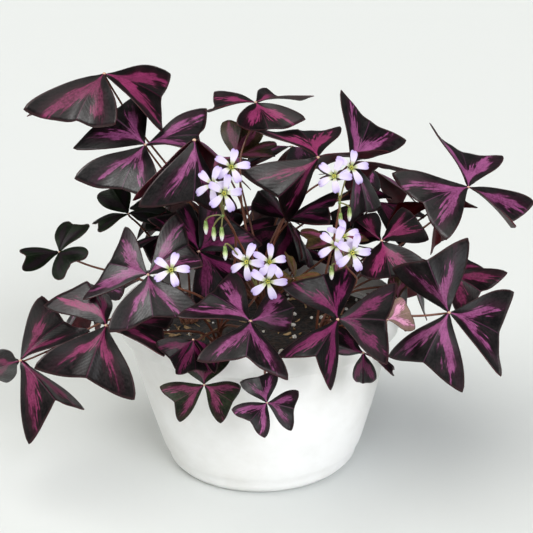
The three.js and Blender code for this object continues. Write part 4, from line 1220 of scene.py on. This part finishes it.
def petals_mesh(flowers, joint, draw):
    """The petals of a head, as thin sheets."""
    bloom = bmesh.new()
    uv = bloom.loops.layers.uv.new("petal")
    for throat, aim in flowers:
        axes = flower_axes(aim)
        for k in range(PETALS):
            curl, length = draw.uniform(*PETAL_CURL_SPREAD), draw.uniform(*PETAL_LENGTH_SPREAD)
            for vert in sheet_grid(bloom, uv, PETAL_ROWS, PETAL_COLUMNS, float):
                there = petal_place(vert.co.x, vert.co.y, curl * PETAL_CURL, length * PETAL_LENGTH)
                spot = petal_spot(axes, 2 * math.pi * k / PETALS, *there)
                vert.co = joint + (Vector(throat) + spot) * MM
    sheet = place("petals", as_mesh("petals", bloom))
    thickened(sheet, PETAL_THICKNESS)
    mesh = finished(sheet).data
    bpy.data.objects.remove(sheet)
    return mesh


def flower_stalk(joint, end, out):
    """A thin bent stalk from the back of a flower or the top of a bud to the joint."""
    span = (end - joint).length
    leave = joint.lerp(end, 1 / 3) - DOWN * span * FLOWER_STALK_RISE
    arrive = end - out * span * FLOWER_STALK_PULL
    line = interpolate_bezier(end, arrive, leave, joint, FLOWER_STALK_POINTS)
    return line, 1, FLOWER_STALK_RADIUS, FLOWER_STALK_RADIUS


def sepals(shape, base, out):
    """Five narrow green sepals that clasp the back of a flower or the top of a bud."""
    whole = Matrix.Translation(base) @ out.to_track_quat("Z", "Y").to_matrix().to_4x4()
    tilt = Matrix.Rotation(math.radians(SEPAL_TILT), 4, "X")
    aside = Matrix.Translation(Vector(SEPAL_SPOT) * MM) @ tilt
    for k in range(PETALS):
        sepal = cone(shape, SEPAL_RADII, SEPAL_LENGTH, SEPAL_CORNERS)
        bmesh.ops.scale(shape, vec=(1, SEPAL_FLATNESS, 1), verts=sepal)
        turn = Matrix.Rotation(2 * math.pi * k / PETALS, 4, "Z")
        bmesh.ops.transform(shape, matrix=whole @ turn @ aside, verts=sepal)


def bud(buds, middle):
    """A closed bud that hangs tip down, its petals furled to a blunt point."""
    count = len(buds.verts)
    buds.from_mesh(as_mesh("bud", turned(BUD_TIP + BUD_BASE, BUD_STEPS)))
    tip = buds.verts.layers.float.get("tip") or buds.verts.layers.float.new("tip")
    buds.verts.ensure_lookup_table()
    for vert in buds.verts[count:]:
        vert[tip] = 0.5 - vert.co.z / (BUD_LENGTH * MM)
        vert.co += middle


def bud_material():
    """Furled bud: green at its base and white at the tip."""
    material, tree = new_material("furled bud green to white")
    tip = add(tree, "Attribute", attribute_name="tip").outputs["Fac"]
    tint = add(tree, "ValToRGB", {"Fac": tip})
    grade(tint, (0.15, "#6F8F3C"), (0.85, "#F4F1F5"), (0.5, "#C6D59A"))
    skin = add(tree, "BsdfPrincipled", {"Base Color": tint, "Roughness": 0.5, "IOR": 1.4})
    add(tree, "OutputMaterial", {"Surface": skin})
    return material


def stamens(shape, throat, axes):
    """A ring of small yellow anthers just inside the throat."""
    for k in range(PETALS):
        spot = petal_spot(axes, 2 * math.pi * (k + 0.5) / PETALS, *ANTHER_SPOT)
        ball(shape, ANTHER_RADIUS, throat + spot * MM, fineness=1)


petal_look = petal_material()
bud_look = bud_material()
scape_look = stem_material("flower stalk green", "#5B5A30", "#8A8447")
sepal_look = stem_material("sepal green", "#5C7A34", "#8FA95A")
anther_look = grain_material("anther yellow", "#B9B63C", "#E3DC6A", 0.7)
blooming = random.Random(BLOOM_SEED)
for name, (joint, flowers, buds) in HEADS.items():
    node = f"flowers_{name}"
    here = found_hub(node, head_corners(joint, flowers))
    moved = here - Vector(joint) * MM
    greens, furled, anthers, runs = bmesh.new(), bmesh.new(), bmesh.new(), []
    for throat, aim in flowers:
        axes = flower_axes(aim)
        base = moved + (Vector(throat) - axes[2] * THROAT_DEPTH) * MM
        runs.append(flower_stalk(here, base, axes[2]))
        sepals(greens, base, axes[2])
        stamens(anthers, moved + Vector(throat) * MM, axes)
    for spot in buds:
        middle = moved + Vector(spot) * MM
        top = middle - DOWN * BUD_LENGTH / 2 * MM
        runs.append(flower_stalk(here, top, DOWN))
        sepals(greens, top, DOWN)
        bud(furled, middle)
    ball(greens, JOINT_RADIUS, here)
    parts = [
        (petals_mesh(flowers, moved, blooming), 0),
        (stems_mesh("stalklets", runs), 1),
        (as_mesh("greens", greens), 2),
        (as_mesh("buds", furled), 3),
        (as_mesh("anthers", anthers), 4),
    ]
    head = gathered(f"bloom_{name}", parts, [petal_look, scape_look, sepal_look, bud_look, anther_look])
    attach(head, "root")
    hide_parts(node)
    neck = here + DOWN * HEAD_REST * MM
    crown, line = stalk_line(crown_ends, here, neck)
    crown_runs[crown].append((calmed(line), 1, STALK_FOOT_RADIUS, STALK_TIP_RADIUS))

# Each clump is put together last, when all that it carries is in place: brown leaf stalks and greener
# flower stems, a tan knob under each leaf, and fleshy pink brown scales round its foot in the soil.
stalk_looks = [
    stem_material("leaf stalk brown", "#4A2A20", "#8E5842"),
    scape_look,
    stem_material("hub callus tan", "#B98A70", "#DDBBA4"),
    stem_material("rhizome scale pink brown", "#6B3F30", "#B5846A"),
]
for name, spot in CROWN_SPOTS.items():
    scales = bmesh.new()
    rhizome_scales(scales, spot, blooming)
    parts = [
        (stems_mesh("stems", crown_runs[name]), None),
        (as_mesh("knobs", crown_knobs[name]), 2),
        (as_mesh("scales", scales), 3),
    ]
    clump = gathered(f"clump_{name}", parts, stalk_looks)
    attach(clump, "root")
    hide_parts(f"stalks_{name}")
